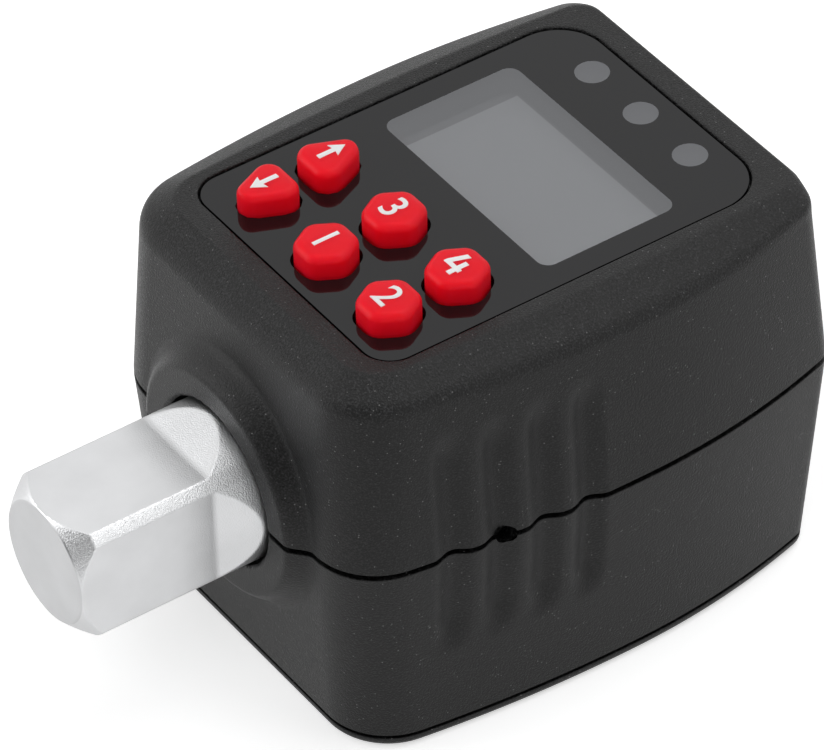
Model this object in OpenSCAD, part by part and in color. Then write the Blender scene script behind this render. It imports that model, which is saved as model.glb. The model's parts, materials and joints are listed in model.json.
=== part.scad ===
// Digital torque adapter: a square drive shaft with strain gauges on it, clamped in a two-part housing
// that holds a keypad, a display, three status lamps and a bay for two cells.
// X points right, Y from the male square to the female one, Z up. Lengths are in millimetres.
// The origin is on the drive axis, where the shaft leaves the housing's front face.

/* [Drive shaft] */
// Male and female square, nominal size across the flats
drive_size = 12.7; // [12.5:0.1:13]
// Bar that the male square is milled from
bar_d = 16.64; // [16:0.02:16.8]
// Male square, from the front face to its end
drive_out = 20.6; // [18:0.1:26]
// Round bar left between the front face and the start of the full flats
flat_start = 5.6; // [4.8:0.1:6.5]
// Length of the milled run-out behind each flat
runout_l = 4; // [2:0.1:4.5]
// Turned nose of the male square, along the axis
nose_l = 2; // [1:0.1:2.6]
// Flat end of the male square, diameter
nose_d = 12.4; // [10:0.1:14]
// Depth of the female square
socket_depth = 16; // [12:0.5:17]
// Female square over nominal, across the flats
socket_play = 0.15; // [0.05:0.01:0.3]
// Rear end of the shaft, diameter
hub_d = 21.8; // [20.6:0.1:22.4]
// Shoulder ahead of the rear bearing, diameter
shoulder_d = 23.2; // [22.8:0.1:23.4]
// Flange behind the front bearing, diameter
flange_d = 21.6; // [20:0.1:22.4]
// Gauge length, diameter
gauge_d = 14.4; // [13:0.1:15.5]
// Gauge length, across its flats
gauge_flats = 12.4; // [11.5:0.1:12.9]

/* [Detent ball] */
// Ball in the underside of the male square
ball_d = 5; // [4:0.1:5.4]
// Ball centre, from the end of the square
ball_back = 8; // [6:0.1:9]
// How far the ball stands out of the flat
ball_out = 0.9; // [0.5:0.05:1.1]
// How far the ball can be pushed in
ball_travel = 0.9; // [0.5:0.05:1]

/* [Housing] */
// Width at the parting line
body_w = 47; // [46:0.1:50]
// Length at the parting line
body_l = 56.4; // [56:0.1:60]
// Height of the rim round the panel, above the parting line
top_h = 20.9; // [20.4:0.1:23]
// Depth of the underside, below the parting line
bottom_h = 23.5; // [23.2:0.1:26]
// Wall thickness
wall = 2; // [1.6:0.1:2.2]
// Draft of the sides, in degrees
side_draft = 3.35; // [1:0.05:4]
// Draft of the front, in degrees
front_draft = 3.7; // [1:0.05:4.5]
// Draft of the back, in degrees
back_draft = 5.2; // [1:0.05:5.6]
// Front corners, radius in plan
front_corner_r = 7; // [5:0.1:8]
// Back corners, radius in plan
back_corner_r = 2.5; // [1.5:0.1:4]
// Widest place, from the front face
widest_y = 31.9; // [26:0.1:36]
// Bow of the sides ahead of the widest place, radius
side_front_r = 155; // [130:1:400]
// Bow of the sides behind the widest place, radius
side_rear_r = 80; // [75:1:300]
// Height of the sloping band between the walls and the rim
bevel_h = 1.9; // [1.2:0.05:2.4]
// Width of the sloping band at the sides
bevel_side = 4.1; // [3:0.1:4.4]
// Width of the sloping band at the front
bevel_front = 2.95; // [2:0.05:3.4]
// Rounding between the walls and the sloping band
crease_r = 2; // [1:0.1:2.4]
// Ring round the shaft on the front face, diameter
boss_d = 24.4; // [23.6:0.1:26]
// How far that ring stands out
boss_out = 1.6; // [0.6:0.1:2.4]

/* [Panel] */
// Width of the front panel
panel_w = 32.08; // [31:0.02:32.4]
// Length of the front panel
panel_l = 44.3; // [43:0.1:45]
// Front edge of the panel, from the front face
panel_y = 7.1; // [6.8:0.1:8]
// Front corners of the panel
panel_front_r = 3; // [1.5:0.1:5]
// Back corners of the panel
panel_back_r = 5; // [2:0.1:6]
// Groove round the panel
panel_gap = 0.25; // [0.1:0.05:0.4]
// How far the panel lies below the rim
panel_drop = 0.2; // [0:0.05:0.4]
// Clear lens thickness
lens_t = 0.8; // [0.6:0.05:1]
// Window width
window_w = 26.6; // [24:0.1:27]
// Window length
window_l = 15.3; // [13:0.1:15.6]
// Front edge of the window, from the front face
window_y = 27.3; // [27:0.1:28]
// Corners of the window
window_r = 1.3; // [0.5:0.1:2.5]
// Lamp windows, diameter
lamp_d = 3.44; // [2:0.02:3.6]
// Lamp windows, pitch across the panel
lamp_pitch = 7.84; // [6:0.02:8]
// Lamp windows, from the front face
lamp_y = 48.1; // [47.6:0.1:48.6]

/* [Keys] */
// Keys across, pitch
key_pitch_x = 10.2; // [9.6:0.1:10.3]
// Key rows, pitch
key_pitch_y = 7.7; // [7.4:0.1:7.8]
// Front key row, from the front face
key_y = 11.9; // [11.5:0.05:12]
// Key tops above the panel
key_out = 2.4; // [1.5:0.1:4]
// How far a key goes down
key_travel = 1; // [0.5:0.05:1.1]
// Gap round each key
key_gap = 0.35; // [0.2:0.01:0.4]
// Width of a six-sided key
key_w = 6.1; // [6:0.1:7]
// Length of a six-sided key
key_l = 5.8; // [5:0.1:6.2]
// Width of an arrow key
arrow_w = 5.2; // [5:0.1:6.6]
// Length of an arrow key
arrow_l = 5.9; // [5:0.1:6.2]

/* [Grips] */
// Finger grooves on each side
groove_count = 4; // [1:1:4]
// Frontmost groove, from the front face
groove_y = 10.5; // [9.5:0.1:12]
// Pitch of the grooves
groove_pitch = 4.87; // [4:0.01:5]
// Depth of a groove
groove_depth = 0.5; // [0.2:0.05:0.7]
// Radius of a groove
groove_r = 4; // [3:0.1:6]
// Straight part of a groove above the parting line
groove_up = 11.5; // [6:0.1:13]
// Straight part of a groove below the parting line
groove_down = 8.5; // [6:0.1:13]
// Sound hole in the parting line, diameter
vent_d = 2; // [1:0.1:2.4]
// Sound hole, from the front face
vent_y = 16.2; // [15:0.1:17]

/* [Battery bay] */
// Cell diameter
cell_d = 10.5; // [10:0.1:10.6]
// Cell length, with its terminal
cell_l = 44.5; // [42:0.1:44.8]
// Gap between the cells and the trough over them
cell_clear = 0.27; // [0.2:0.01:0.4]
// Gap between the cells and the cover
cell_floor = 0.45; // [0.3:0.05:0.6]
// Thickness of the bottom cover
cover_t = 1.5; // [1.2:0.1:1.6]

/* [Fasteners] */
// Housing and cover screws, shank diameter
screw_d = 2.4; // [2:0.1:2.6]
// Screw heads, diameter
head_d = 4.2; // [3.8:0.1:4.4]
// Bosses for the screws, diameter
boss_screw_d = 5.8; // [5.4:0.1:5.9]
// Brass inserts, outer diameter
insert_d = 3.8; // [3.4:0.1:4.2]
// Brass inserts, length
insert_l = 5; // [3:0.1:5.5]
// Housing screws, in from the side at its widest
screw_in = 5.8; // [5.7:0.05:5.9]
// Front screws, from the front face
screw_front_y = 9.9; // [9.5:0.1:10.4]
// Rear screws, from the back face
screw_back = 9.9; // [9.4:0.1:10.9]

/* [Electronics] */
// Board thickness
board_t = 1.6; // [1:0.1:1.8]
// Board width
board_w = 34; // [32:0.1:34.4]
// Board underside, above the drive axis
board_z = 12.4; // [12.2:0.05:12.6]
// Display glass thickness
glass_t = 1.8; // [1.2:0.1:2]
// Keypad mat sheet thickness
mat_t = 1.6; // [1:0.1:1.8]

/* [Hidden] */

// Smoothness of round parts
$fn = 96;
corner_steps = 8;
side_steps = 7;
key_corner_steps = 4;
wire_sides = 8;
spring_sides = 6;

// Overrun of every cut past the face that it opens
cut = 1;
// Running clearance of a round fit
run_gap = 0.05;
// Gap between fixed pieces that sit next to each other
seat_gap = 0.1;

// Widths at a height: half the width, the front face and the back face
function half_w(z) = body_w / 2 - abs(z) * tan(side_draft);
function front_at(z) = abs(z) * tan(front_draft);
function back_at(z) = body_l - abs(z) * tan(back_draft);
function mix(a, b, share) = a + (b - a) * share;

// Points of an arc, leaving out the first ones where they are already there
function arc(c, r, a0, a1, n, first = 0) =
  [for (i = [first:n]) let (a = a0 + (a1 - a0) * i / n) c + r * [cos(a), sin(a)]];

// Outline of the housing in plan: flat front and back, rounded corners, sides bowed by two arcs
function outline(w, y0, y1, rf, rb, ra, rr) =
  let (
    side = [w - ra, widest_y],
    rear = [w - rr, widest_y],
    fc = [side.x + sqrt(pow(ra - rf, 2) - pow(widest_y - y0 - rf, 2)), y0 + rf],
    bc = [rear.x + sqrt(pow(rr - rb, 2) - pow(y1 - rb - widest_y, 2)), y1 - rb],
    front_turn = atan2(fc.y - side.y, fc.x - side.x),
    back_turn = atan2(bc.y - rear.y, bc.x - rear.x),
    right = concat(
      arc(fc, rf, -90, front_turn, corner_steps),
      arc(side, ra, front_turn, 0, side_steps, 1),
      arc(rear, rr, 0, back_turn, side_steps, 1),
      arc(bc, rb, back_turn, 90, corner_steps, 1)),
    last = len(right) - 1
  )
  concat(right, [for (i = [last:-1:0]) [-right[i].x, right[i].y]]);

function lift(points, z) = [for (p = points) [p.x, p.y, z]];

// Outline at a height, drawn in by an inset
corner_keep_share = 0.2;
function wall_outline(z, inset = 0) = outline(
  half_w(z) - inset, front_at(z) + inset, back_at(z) - inset,
  front_corner_r - inset, max(back_corner_r - inset, back_corner_r * corner_keep_share),
  side_front_r - inset, side_rear_r - inset);
function wall_ring(z, inset = 0) = lift(wall_outline(z, inset), z);

// Closed solid through rings of points, listed from the bottom up
module loft(rings) {
  n = len(rings[0]);
  top = len(rings) - 1;
  polyhedron(
    points = [for (ring = rings) for (p = ring) p],
    faces = concat(
      [[for (i = [0:n - 1]) i]],
      [[for (i = [n - 1:-1:0]) top * n + i]],
      [for (k = [0:top - 1]) for (i = [0:n - 1]) [k * n + i, (k + 1) * n + i, (k + 1) * n + (i + 1) % n]],
      [for (k = [0:top - 1]) for (i = [0:n - 1])
        [k * n + i, (k + 1) * n + (i + 1) % n, k * n + (i + 1) % n]]));
}

// Turns a shape drawn along Z so that it runs along Y
module along_y(y = 0) {
  translate([0, y, 0])
    rotate([-90, 0, 0])
      children();
}

module rod_y(d, y0, y1) {
  along_y(y0)
    cylinder(d = d, h = y1 - y0);
}

module post(x, y, z0, z1, d) {
  translate([x, y, z0])
    cylinder(d = d, h = z1 - z0);
}

module box(x0, x1, y0, y1, z0, z1) {
  translate([x0, y0, z0])
    cube([x1 - x0, y1 - y0, z1 - z0]);
}

module mirrored_x() {
  children();
  mirror([1, 0, 0])
    children();
}

// Rounded corners of a convex outline, counter-clockwise
function unit(v) = v / norm(v);
function rounded(points, r) = [
  for (i = [0:len(points) - 1])
    let (
      n = len(points),
      b = points[i],
      u = unit(points[(i + n - 1) % n] - b),
      v = unit(points[(i + 1) % n] - b),
      half = acos(u * v) / 2,
      c = b + unit(u + v) * r / sin(half),
      from = b + u * r / tan(half) - c,
      start = atan2(from.y, from.x)
    )
    for (k = [0:key_corner_steps]) c + r * [cos(start + (180 - 2 * half) * k / key_corner_steps),
                                            sin(start + (180 - 2 * half) * k / key_corner_steps)]];

// Tube of one diameter swept along a list of points
function heading(path, i) = unit(path[min(i + 1, len(path) - 1)] - path[max(i - 1, 0)]);
function tube_ring(path, i, d, sides, ref) =
  let (
    t = heading(path, i),
    u = unit(cross(ref, t)),
    v = cross(t, u)
  )
  [for (k = [0:sides - 1]) path[i] + d / 2 * (u * cos(360 * k / sides) + v * sin(360 * k / sides))];

module tube(path, d, sides, ref) {
  loft([for (i = [0:len(path) - 1]) tube_ring(path, i, d, sides, ref)]);
}

// Smooth route through hand-chosen points
wire_steps = 4;
function blend(p, i, t) =
  let (
    a = p[max(i - 1, 0)],
    b = p[i],
    c = p[i + 1],
    d = p[min(i + 2, len(p) - 1)]
  )
  0.5 * (2 * b + (c - a) * t + (2 * a - 5 * b + 4 * c - d) * t * t + (3 * b - 3 * c + d - a) * t * t * t);
function route(p) = concat(
  [for (i = [0:len(p) - 2]) for (s = [0:wire_steps - 1]) blend(p, i, s / wire_steps)],
  [p[len(p) - 1]]);

// Coil spring about Z
module coil(d, wire, z0, z1, turns) {
  steps = turns * 12;
  loft([for (i = [0:steps])
    let (
      a = 360 * turns * i / steps,
      rise = (z1 - z0 - wire) * i / steps,
      out = [cos(a), sin(a), 0],
      lean = unit([-sin(a) * d / 2, cos(a) * d / 2, (z1 - z0 - wire) / (2 * PI * turns)])
    )
    [for (k = [0:spring_sides - 1])
      [0, 0, z0 + wire / 2 + rise] + out * d / 2
        + wire / 2 * (out * cos(360 * k / spring_sides) + cross(out, lean) * -sin(360 * k / spring_sides))]]);
}

// Housing levels
seam_z = -(bottom_h - cover_t);
crease_z = top_h - bevel_h;
bevel_angle = atan(bevel_h / bevel_side);
crease_turn = 90 - bevel_angle;
crease_from = crease_z - crease_r * tan(crease_turn / 2);
seam_inset = 0.15;
seam_rise = 0.25;
back_edge = 0.5;
rim_corner_r = 4.5;
rim_front_r = 330;
rim_rear_r = 240;

// Ring on the sloping band: share 0 is the top of the wall, 1 is the rim
function bevel_ring(z, share, back_in = 0) = lift(outline(
  half_w(z) - bevel_side * share, front_at(z) + bevel_front * share, back_at(z) - back_in,
  mix(front_corner_r, rim_corner_r, share), back_corner_r,
  mix(side_front_r, rim_front_r, share), mix(side_rear_r, rim_rear_r, share)), z);

crease_steps = 4;
crease_rings = [for (i = [0:crease_steps])
  let (a = crease_turn * i / crease_steps)
  bevel_ring(crease_from + crease_r * sin(a), crease_r * (1 - cos(a)) / bevel_side)];
upper_rings = concat(
  [wall_ring(0, seam_inset), wall_ring(seam_rise)],
  crease_rings,
  [bevel_ring(top_h - back_edge, 1 - back_edge / bevel_h), bevel_ring(top_h, 1, back_edge)]);
lower_rings = [wall_ring(seam_z, seam_inset), wall_ring(seam_z + seam_rise), wall_ring(-seam_rise),
               wall_ring(0, seam_inset)];

// Panel levels
panel_z = top_h - panel_drop;
mask_t = 0.15;
tint_t = 0.1;
lens_z = panel_z - lens_t;
mask_z = lens_z - mask_t;
tint_z = mask_z - tint_t;
deck_z = tint_z - seat_gap / 2;
deck_t = 2;
deck_under = deck_z - deck_t;
board_top = board_z + board_t;

module panel_plan(grow = 0) {
  w = panel_w / 2 + grow;
  y0 = panel_y - grow;
  y1 = panel_y + panel_l + grow;
  rf = panel_front_r + grow;
  rb = panel_back_r + grow;
  translate([-w, y0 + rf])
    square([2 * w, y1 - y0 - rf - rb]);
  translate([-w + rf, y0])
    square([2 * (w - rf), y1 - y0 - rb]);
  translate([-w + rb, y0 + rf])
    square([2 * (w - rb), y1 - y0 - rf]);
  for (side = [-1, 1]) {
    translate([side * (w - rf), y0 + rf])
      circle(r = rf);
    translate([side * (w - rb), y1 - rb])
      circle(r = rb);
  }
}

module window_plan(grow = 0) {
  w = window_w / 2 + grow;
  r = window_r + grow;
  y0 = window_y - grow;
  l = window_l + 2 * grow;
  translate([-w, y0 + r])
    square([2 * w, l - 2 * r]);
  translate([-w + r, y0])
    square([2 * (w - r), l]);
  for (side = [-1, 1], y = [y0 + r, y0 + l - r])
    translate([side * (w - r), y])
      circle(r = r);
}

module lamp_plan(grow = 0) {
  for (i = [-1:1])
    translate([i * lamp_pitch, lamp_y])
      circle(d = lamp_d + 2 * grow);
}

// Key outlines, as shares of half the key's width and length
hex_shares = [[-1.076, 0], [-0.53, -1], [0.53, -1], [1.076, 0], [0.53, 1], [-0.53, 1]];
arrow_shares = [[-1.38, 0.98], [0, -1.72], [1.38, 0.98]];
hex_corner_r = 1.6;
arrow_corner_r = 1.6;

function key_outline(kind, grow = 0) =
  kind == "hex" ? rounded([for (p = hex_shares) [p.x * (key_w / 2 + grow), p.y * (key_l / 2 + grow)]],
                          hex_corner_r + grow)
  : let (s = kind == "down" ? 1 : -1)
    rounded([for (p = arrow_shares) s * [p.x * (arrow_w / 2 + grow), p.y * (arrow_l / 2 + grow)]],
            arrow_corner_r + grow);

arrow_in = 0.1;
function key_place(column, row) =
  [column * key_pitch_x - (column < 0 ? arrow_in : 0), key_y + row * key_pitch_y];
keys = [["up", -1, 1], ["down", -1, 0], ["hex", 0, 1], ["hex", 0, 0], ["hex", 1, 1], ["hex", 1, 0]];

// Retaining tabs at the sides of each key, under the deck
tab_reach = 0.7;
tab_l = 2.6;
tab_t = 0.8;
pill_d = 3;
pill_t = 0.5;
pad_t = 0.1;
press_rest = 0.15;
pill_z = board_top + pad_t + press_rest + key_travel;
key_z = pill_z + pill_t;
key_top = panel_z + key_out;
key_round = 0.7;

module key_holes(grow, z0, z1) {
  for (k = keys)
    translate([key_place(k[1], k[2]).x, key_place(k[1], k[2]).y, z0])
      linear_extrude(z1 - z0)
        polygon(key_outline(k[0], grow));
}

module tab_holes(grow, z0, z1) {
  for (k = keys)
    translate(key_place(k[1], k[2]))
      box(-key_w / 2 - tab_reach - grow, key_w / 2 + tab_reach + grow,
          -tab_l / 2 - grow, tab_l / 2 + grow, z0, z1);
}

// Edge of a key top, as insets and drops from the top, in shares of the rounding
key_round_shares = [[0, 1], [0.12, 0.55], [0.42, 0.16], [1, 0]];
module key(kind, column, row) {
  color([0.83, 0.05, 0.08])
    translate(key_place(column, row)) {
      loft(concat(
        [lift(key_outline(kind), key_z)],
        [for (s = key_round_shares) lift(key_outline(kind, -s.x * key_round), key_top - s.y * key_round)]));
      difference() {
        box(-key_w / 2 - tab_reach, key_w / 2 + tab_reach, -tab_l / 2, tab_l / 2, key_z, key_z + tab_t);
        box(-key_w / 4, key_w / 4, -tab_l, tab_l, key_z - cut, key_z + tab_t + cut);
      }
    }
}

module pill(column, row) {
  color([0.12, 0.12, 0.13])
    translate(key_place(column, row))
      post(0, 0, pill_z, key_z, pill_d);
}

module up_key() { key("up", -1, 1); }
module down_key() { key("down", -1, 0); }
module peak_key() { key("hex", 0, 1); }
module mode_key() { key("hex", 0, 0); }
module unit_key() { key("hex", 1, 1); }
module clear_key() { key("hex", 1, 0); }
module up_key_pill() { pill(-1, 1); }
module down_key_pill() { pill(-1, 0); }
module peak_key_pill() { pill(0, 1); }
module mode_key_pill() { pill(0, 0); }
module unit_key_pill() { pill(1, 1); }
module clear_key_pill() { pill(1, 0); }

// Mat between the board and the deck: a sheet with a hole round each key and a bead round its edge
mat_margin = 1.3;
mat_side = 1.1;
mat_w = 2 * (key_pitch_x + key_w / 2 + tab_reach + mat_side);
mat_front = key_y - key_l / 2 - mat_margin;
mat_back = key_y + key_pitch_y + key_l / 2 + mat_margin;
bead_w = 1;
mat_gap = 0.3;
module keypad_mat() {
  color([0.72, 0.05, 0.07])
    difference() {
      box(-mat_w / 2, mat_w / 2, mat_front, mat_back, board_top, deck_under);
      box(-mat_w / 2 + bead_w, mat_w / 2 - bead_w, mat_front + bead_w, mat_back - bead_w,
          board_top + mat_t, deck_under + cut);
      key_holes(mat_gap, board_top - cut, board_top + mat_t + cut);
      tab_holes(mat_gap, board_top - cut, board_top + mat_t + cut);
    }
}

// Shaft stations along Y
hub_proud = 0.5;
hub_end = body_l + hub_proud;
drive_end = -drive_out;
mouth_gap = 0.38;
front_bore_d = bar_d + 2 * mouth_gap;
seal_front_y = 0.6;
bearing_y = 3;
collar_end = 6.2;
flange_w = 3;
flange_y = collar_end + seat_gap;
gauge_y = flange_y + flange_w;
hub_floor = 4.9;
hub_cone = 3;
hub_y = hub_end - socket_depth - hub_floor;
gauge_end = hub_y - hub_cone;
rear_lip = 1.4;
rear_seal_w = 2;
rear_bearing_l = 2.5;
rear_mouth_y = body_l - rear_lip;
rear_seal_y = rear_mouth_y - rear_seal_w;
rear_collar_y = rear_seal_y - rear_bearing_l;
shoulder_end = rear_collar_y - seat_gap;
front_seal_t = 2.08;
front_seal_d = bar_d + 2 * front_seal_t;
rear_seal_t = 1.6;
rear_seal_d = hub_d + 2 * rear_seal_t;
rear_collar_t = 1.5;
rear_collar_d = rear_seal_d + 2 * rear_collar_t;
rear_mouth_gap = 0.8;
rear_mouth_d = hub_d + 2 * rear_mouth_gap;
socket_size = drive_size + socket_play;
socket_lead = 0.8;
detent_groove_d = 14.8;
detent_groove_w = 4.4;
detent_groove_back = 8;
pin_d = 2;
pin_front_y = flange_y + flange_w / 2;
pin_in = 2.4;
pin_rear_y = hub_y + pin_in;
pin_deep = 2.4;
trough_gap = 0.4;
trough_d = shoulder_d + 2 * trough_gap;
trough_t = 1.3;
hub_chamfer = 0.6;
ball_y = drive_end + ball_back;
ball_z = -(drive_size / 2 + ball_out - ball_d / 2);
ball_hole_end = 2.4;
ball_gap = 0.03;

module torque_shaft() {
  color([0.78, 0.78, 0.8])
    difference() {
      along_y()
        rotate_extrude()
          polygon([
            [0, drive_end],
            [nose_d / 2, drive_end],
            [bar_d / 2, drive_end + nose_l],
            [bar_d / 2, flange_y],
            [flange_d / 2, flange_y],
            [flange_d / 2, gauge_y],
            [gauge_d / 2, gauge_y],
            [gauge_d / 2, gauge_end],
            [shoulder_d / 2, hub_y],
            [shoulder_d / 2, shoulder_end],
            [hub_d / 2, shoulder_end],
            [hub_d / 2, hub_end - hub_chamfer],
            [hub_d / 2 - hub_chamfer, hub_end],
            [0, hub_end]]);
      for (turn = [0:90:270])
        rotate([0, turn, 0])
          drive_flat_cut();
      for (turn = [0:90:270])
        rotate([0, turn, 0])
          box(-gauge_d, gauge_d, gauge_y + flange_w, gauge_end - flange_w, gauge_flats / 2, gauge_d);
      box(-socket_size / 2, socket_size / 2, hub_end - socket_depth, hub_end + cut,
          -socket_size / 2, socket_size / 2);
      along_y(hub_end - socket_lead)
        cylinder(d1 = socket_size, d2 = socket_size + 4 * socket_lead, h = 2 * socket_lead);
      rod_y(detent_groove_d, hub_end - detent_groove_back - detent_groove_w / 2,
            hub_end - detent_groove_back + detent_groove_w / 2);
      translate([0, ball_y, ball_z]) {
        sphere(d = ball_d + 2 * ball_gap);
        cylinder(d = ball_d + 2 * ball_gap, h = ball_hole_end - ball_z);
      }
      locating_pin(pin_front_y, flange_d, pin_d + seat_gap, cut, 0);
      locating_pin(pin_rear_y, shoulder_d, pin_d + seat_gap, cut, 0);
    }
}

// Cut for one flat of the male square, with its run-out at the rear
module drive_flat_cut() {
  half = drive_size / 2;
  over = bar_d / 2 + cut;
  lift_share = (over - half) / (bar_d / 2 - half);
  translate([-bar_d, 0, 0])
    rotate([90, 0, 90])
      linear_extrude(2 * bar_d)
        polygon([[drive_end - cut, half], [-flat_start, half], [-flat_start + runout_l * lift_share, over],
                 [drive_end - cut, over]]);
}

// Pin through the trough floor into the shaft
module locating_pin(y, d, pin, below, gap) {
  post(0, y, -trough_d / 2 - trough_t - below, -d / 2 + pin_deep - gap, pin);
}

module locating_pins() {
  color([0.6, 0.6, 0.62]) {
    locating_pin(pin_front_y, flange_d, pin_d, 0, seat_gap);
    locating_pin(pin_rear_y, shoulder_d, pin_d, 0, seat_gap);
  }
}

module detent_ball() {
  color([0.85, 0.85, 0.87])
    translate([0, ball_y, ball_z])
      sphere(d = ball_d);
}

detent_coil_d = 2.6;
detent_wire = 0.4;
detent_turns = 5;
module detent_spring() {
  coil_low = ball_z + sqrt(pow(ball_d / 2, 2) - pow(detent_coil_d / 2, 2)) + ball_gap;
  color([0.7, 0.7, 0.72])
    translate([0, ball_y, 0])
      coil(detent_coil_d, detent_wire, coil_low, ball_hole_end, detent_turns);
}

// Foil gauges on the four flats
foil_w = 5;
foil_l = 8;
foil_t = 0.15;
foil_in = 8.7;
foil_y = gauge_y + foil_in;
module strain_gauges() {
  color([0.8, 0.5, 0.2])
    for (turn = [0:90:270])
      rotate([0, turn, 0])
        box(-foil_w / 2, foil_w / 2, foil_y, foil_y + foil_l, gauge_flats / 2, gauge_flats / 2 + foil_t);
}

seal_gap = 0.02;
module seal(d_in, d_out, y0, y1) {
  color([0.07, 0.07, 0.07])
    difference() {
      rod_y(d_out - 2 * seal_gap, y0, y1);
      rod_y(d_in + 2 * seal_gap, y0 - cut, y1 + cut);
    }
}

module front_seal() { seal(bar_d, front_seal_d, seal_front_y, bearing_y); }
module rear_seal() { seal(hub_d, rear_seal_d, rear_seal_y, rear_mouth_y); }

// Ring on the front face, rounded at its front edge, and the collar behind it
boss_edge = 0.9;
module front_collar() {
  along_y()
    rotate_extrude()
      polygon(concat(
        [[0, collar_end], [0, -boss_out]],
        arc([boss_d / 2 - boss_edge, -boss_out + boss_edge], boss_edge, -90, 0, corner_steps),
        [[boss_d / 2, collar_end]]));
}

// Keeps what lies above the parting line
module above() {
  difference() {
    children();
    box(-body_w, body_w, -body_l, body_l, -body_w, 0);
  }
}

module shaft_bores() {
  rod_y(front_bore_d, -boss_out - cut, seal_front_y);
  rod_y(front_seal_d, seal_front_y - seat_gap, bearing_y);
  rod_y(bar_d + 2 * run_gap, bearing_y - cut, collar_end + cut);
  rod_y(hub_d + 2 * run_gap, rear_collar_y - cut, rear_seal_y + cut);
  rod_y(rear_seal_d, rear_seal_y, rear_mouth_y);
  rod_y(rear_mouth_d, rear_mouth_y - seat_gap, body_l + cut);
}

module finger_grooves(straight) {
  for (i = [0:groove_count - 1]) {
    y = groove_y + i * groove_pitch;
    x = half_w(0) - pow(widest_y - y, 2) / (2 * side_front_r) - groove_depth + groove_r;
    translate([x, y, 0])
      rotate([0, -side_draft, 0]) {
        translate([0, 0, -cut])
          cylinder(r = groove_r, h = straight + cut);
        translate([0, 0, straight])
          sphere(r = groove_r);
      }
  }
}

module sound_hole() {
  translate([half_w(0) + cut, vent_y, 0])
    rotate([0, -90, 0])
      cylinder(d = vent_d, h = 2 * cut + 2 * wall);
}

screw_x = body_w / 2 - screw_in;
screw_rear_y = body_l - screw_back;
module screw_places() {
  for (side = [-1, 1], y = [screw_front_y, screw_rear_y])
    translate([side * screw_x, y, 0])
      children();
}

module cover_screw_places() {
  for (y = [screw_front_y, screw_rear_y])
    translate([0, y, 0])
      children();
}

// Board posts hang from the deck
post_d = 3.4;
post_x = 12;
board_front = 4;
board_back_gap = 4.4;
board_back = body_l - board_back_gap;
post_edge = 0.4;
post_front_y = board_front + post_d / 2;
post_rear_y = board_back - post_d / 2 - post_edge;
board_screw_d = 1.8;
board_head_d = 3.4;
board_head_t = 1.2;
board_screw_up = 2.6;
module board_places() {
  for (side = [-1, 1], y = [post_front_y, post_rear_y])
    translate([side * post_x, y, 0])
      children();
}

insert_cover = 2;
insert_boss_h = insert_l + insert_cover;
buzzer_in = 7.9;
buzzer_t = 3.8;
buzzer_x = body_w / 2 - buzzer_in;
buzzer_end = buzzer_x + buzzer_t;
buzzer_y = 17.4;
buzzer_z = 4.8;
buzzer_d = 8.4;
buzzer_cup_t = 0.8;
module upper_housing() {
  color([0.17, 0.17, 0.18])
    difference() {
      union() {
        loft(upper_rings);
        above()
          front_collar();
      }
      difference() {
        loft([wall_ring(-cut, wall), wall_ring(deck_under, wall)]);
        front_collar();
        rod_y(rear_collar_d, rear_collar_y, body_l);
        screw_places()
          post(0, 0, -cut, insert_boss_h, boss_screw_d);
        board_places()
          post(0, 0, board_top, deck_under + cut, post_d);
        translate([buzzer_x + wall, buzzer_y, buzzer_z])
          rotate([0, 90, 0])
            cylinder(d = buzzer_d + 2 * buzzer_cup_t, h = body_w / 2);
      }
      translate([0, 0, deck_z])
        linear_extrude(top_h)
          panel_plan(panel_gap);
      translate([0, 0, deck_under - cut])
        linear_extrude(deck_t + 2 * cut) {
          window_plan(seat_gap);
          lamp_plan(seat_gap);
        }
      key_holes(key_gap, deck_under - cut, deck_z + cut);
      shaft_bores();
      screw_places()
        post(0, 0, -cut, insert_l + seat_gap, insert_d);
      screw_places()
        post(0, 0, -cut, insert_boss_h - wall / 2, screw_d + seat_gap);
      board_places()
        post(0, 0, board_top - cut, board_top + board_screw_up + seat_gap, board_screw_d);
      translate([buzzer_x, buzzer_y, buzzer_z])
        rotate([0, 90, 0])
          cylinder(d = buzzer_d + seat_gap, h = buzzer_end - buzzer_x + seat_gap);
      mirrored_x()
        finger_grooves(groove_up);
      sound_hole();
    }
}

// Battery bay: a trough round the shaft, a shelf over the cells and a block at each end
shelf_t = 1.4;
shelf_gap = 0.45;
cell_z = -seam_z - cell_floor - cell_d / 2;
cell_mid = 1.2;
cell_reach = trough_d / 2 + trough_t + cell_clear + cell_d / 2;
cell_x = max(boss_screw_d / 2 + cell_mid + cell_d / 2, sqrt(max(0, pow(cell_reach, 2) - pow(cell_z, 2))));
shelf_top = -cell_z + cell_d / 2 + shelf_gap + shelf_t;
bay_gap = 0.08;
contact_room = 3.6;
bay_front = front_at(seam_z) + wall + bay_gap;
bay_rear = bay_front + cell_l + contact_room;
bay_side = 0.85;
bay_w = 2 * (cell_x + cell_d / 2 + bay_side);
floor_z = seam_z + seat_gap;
head_seat = -9;
wire_hole_d = 2.4;
wire_hole_x = 17.6;
wire_hole_y = 20;
gasket_w = 0.9;
gasket_in = 0.55;
gasket_t = 0.6;
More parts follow.
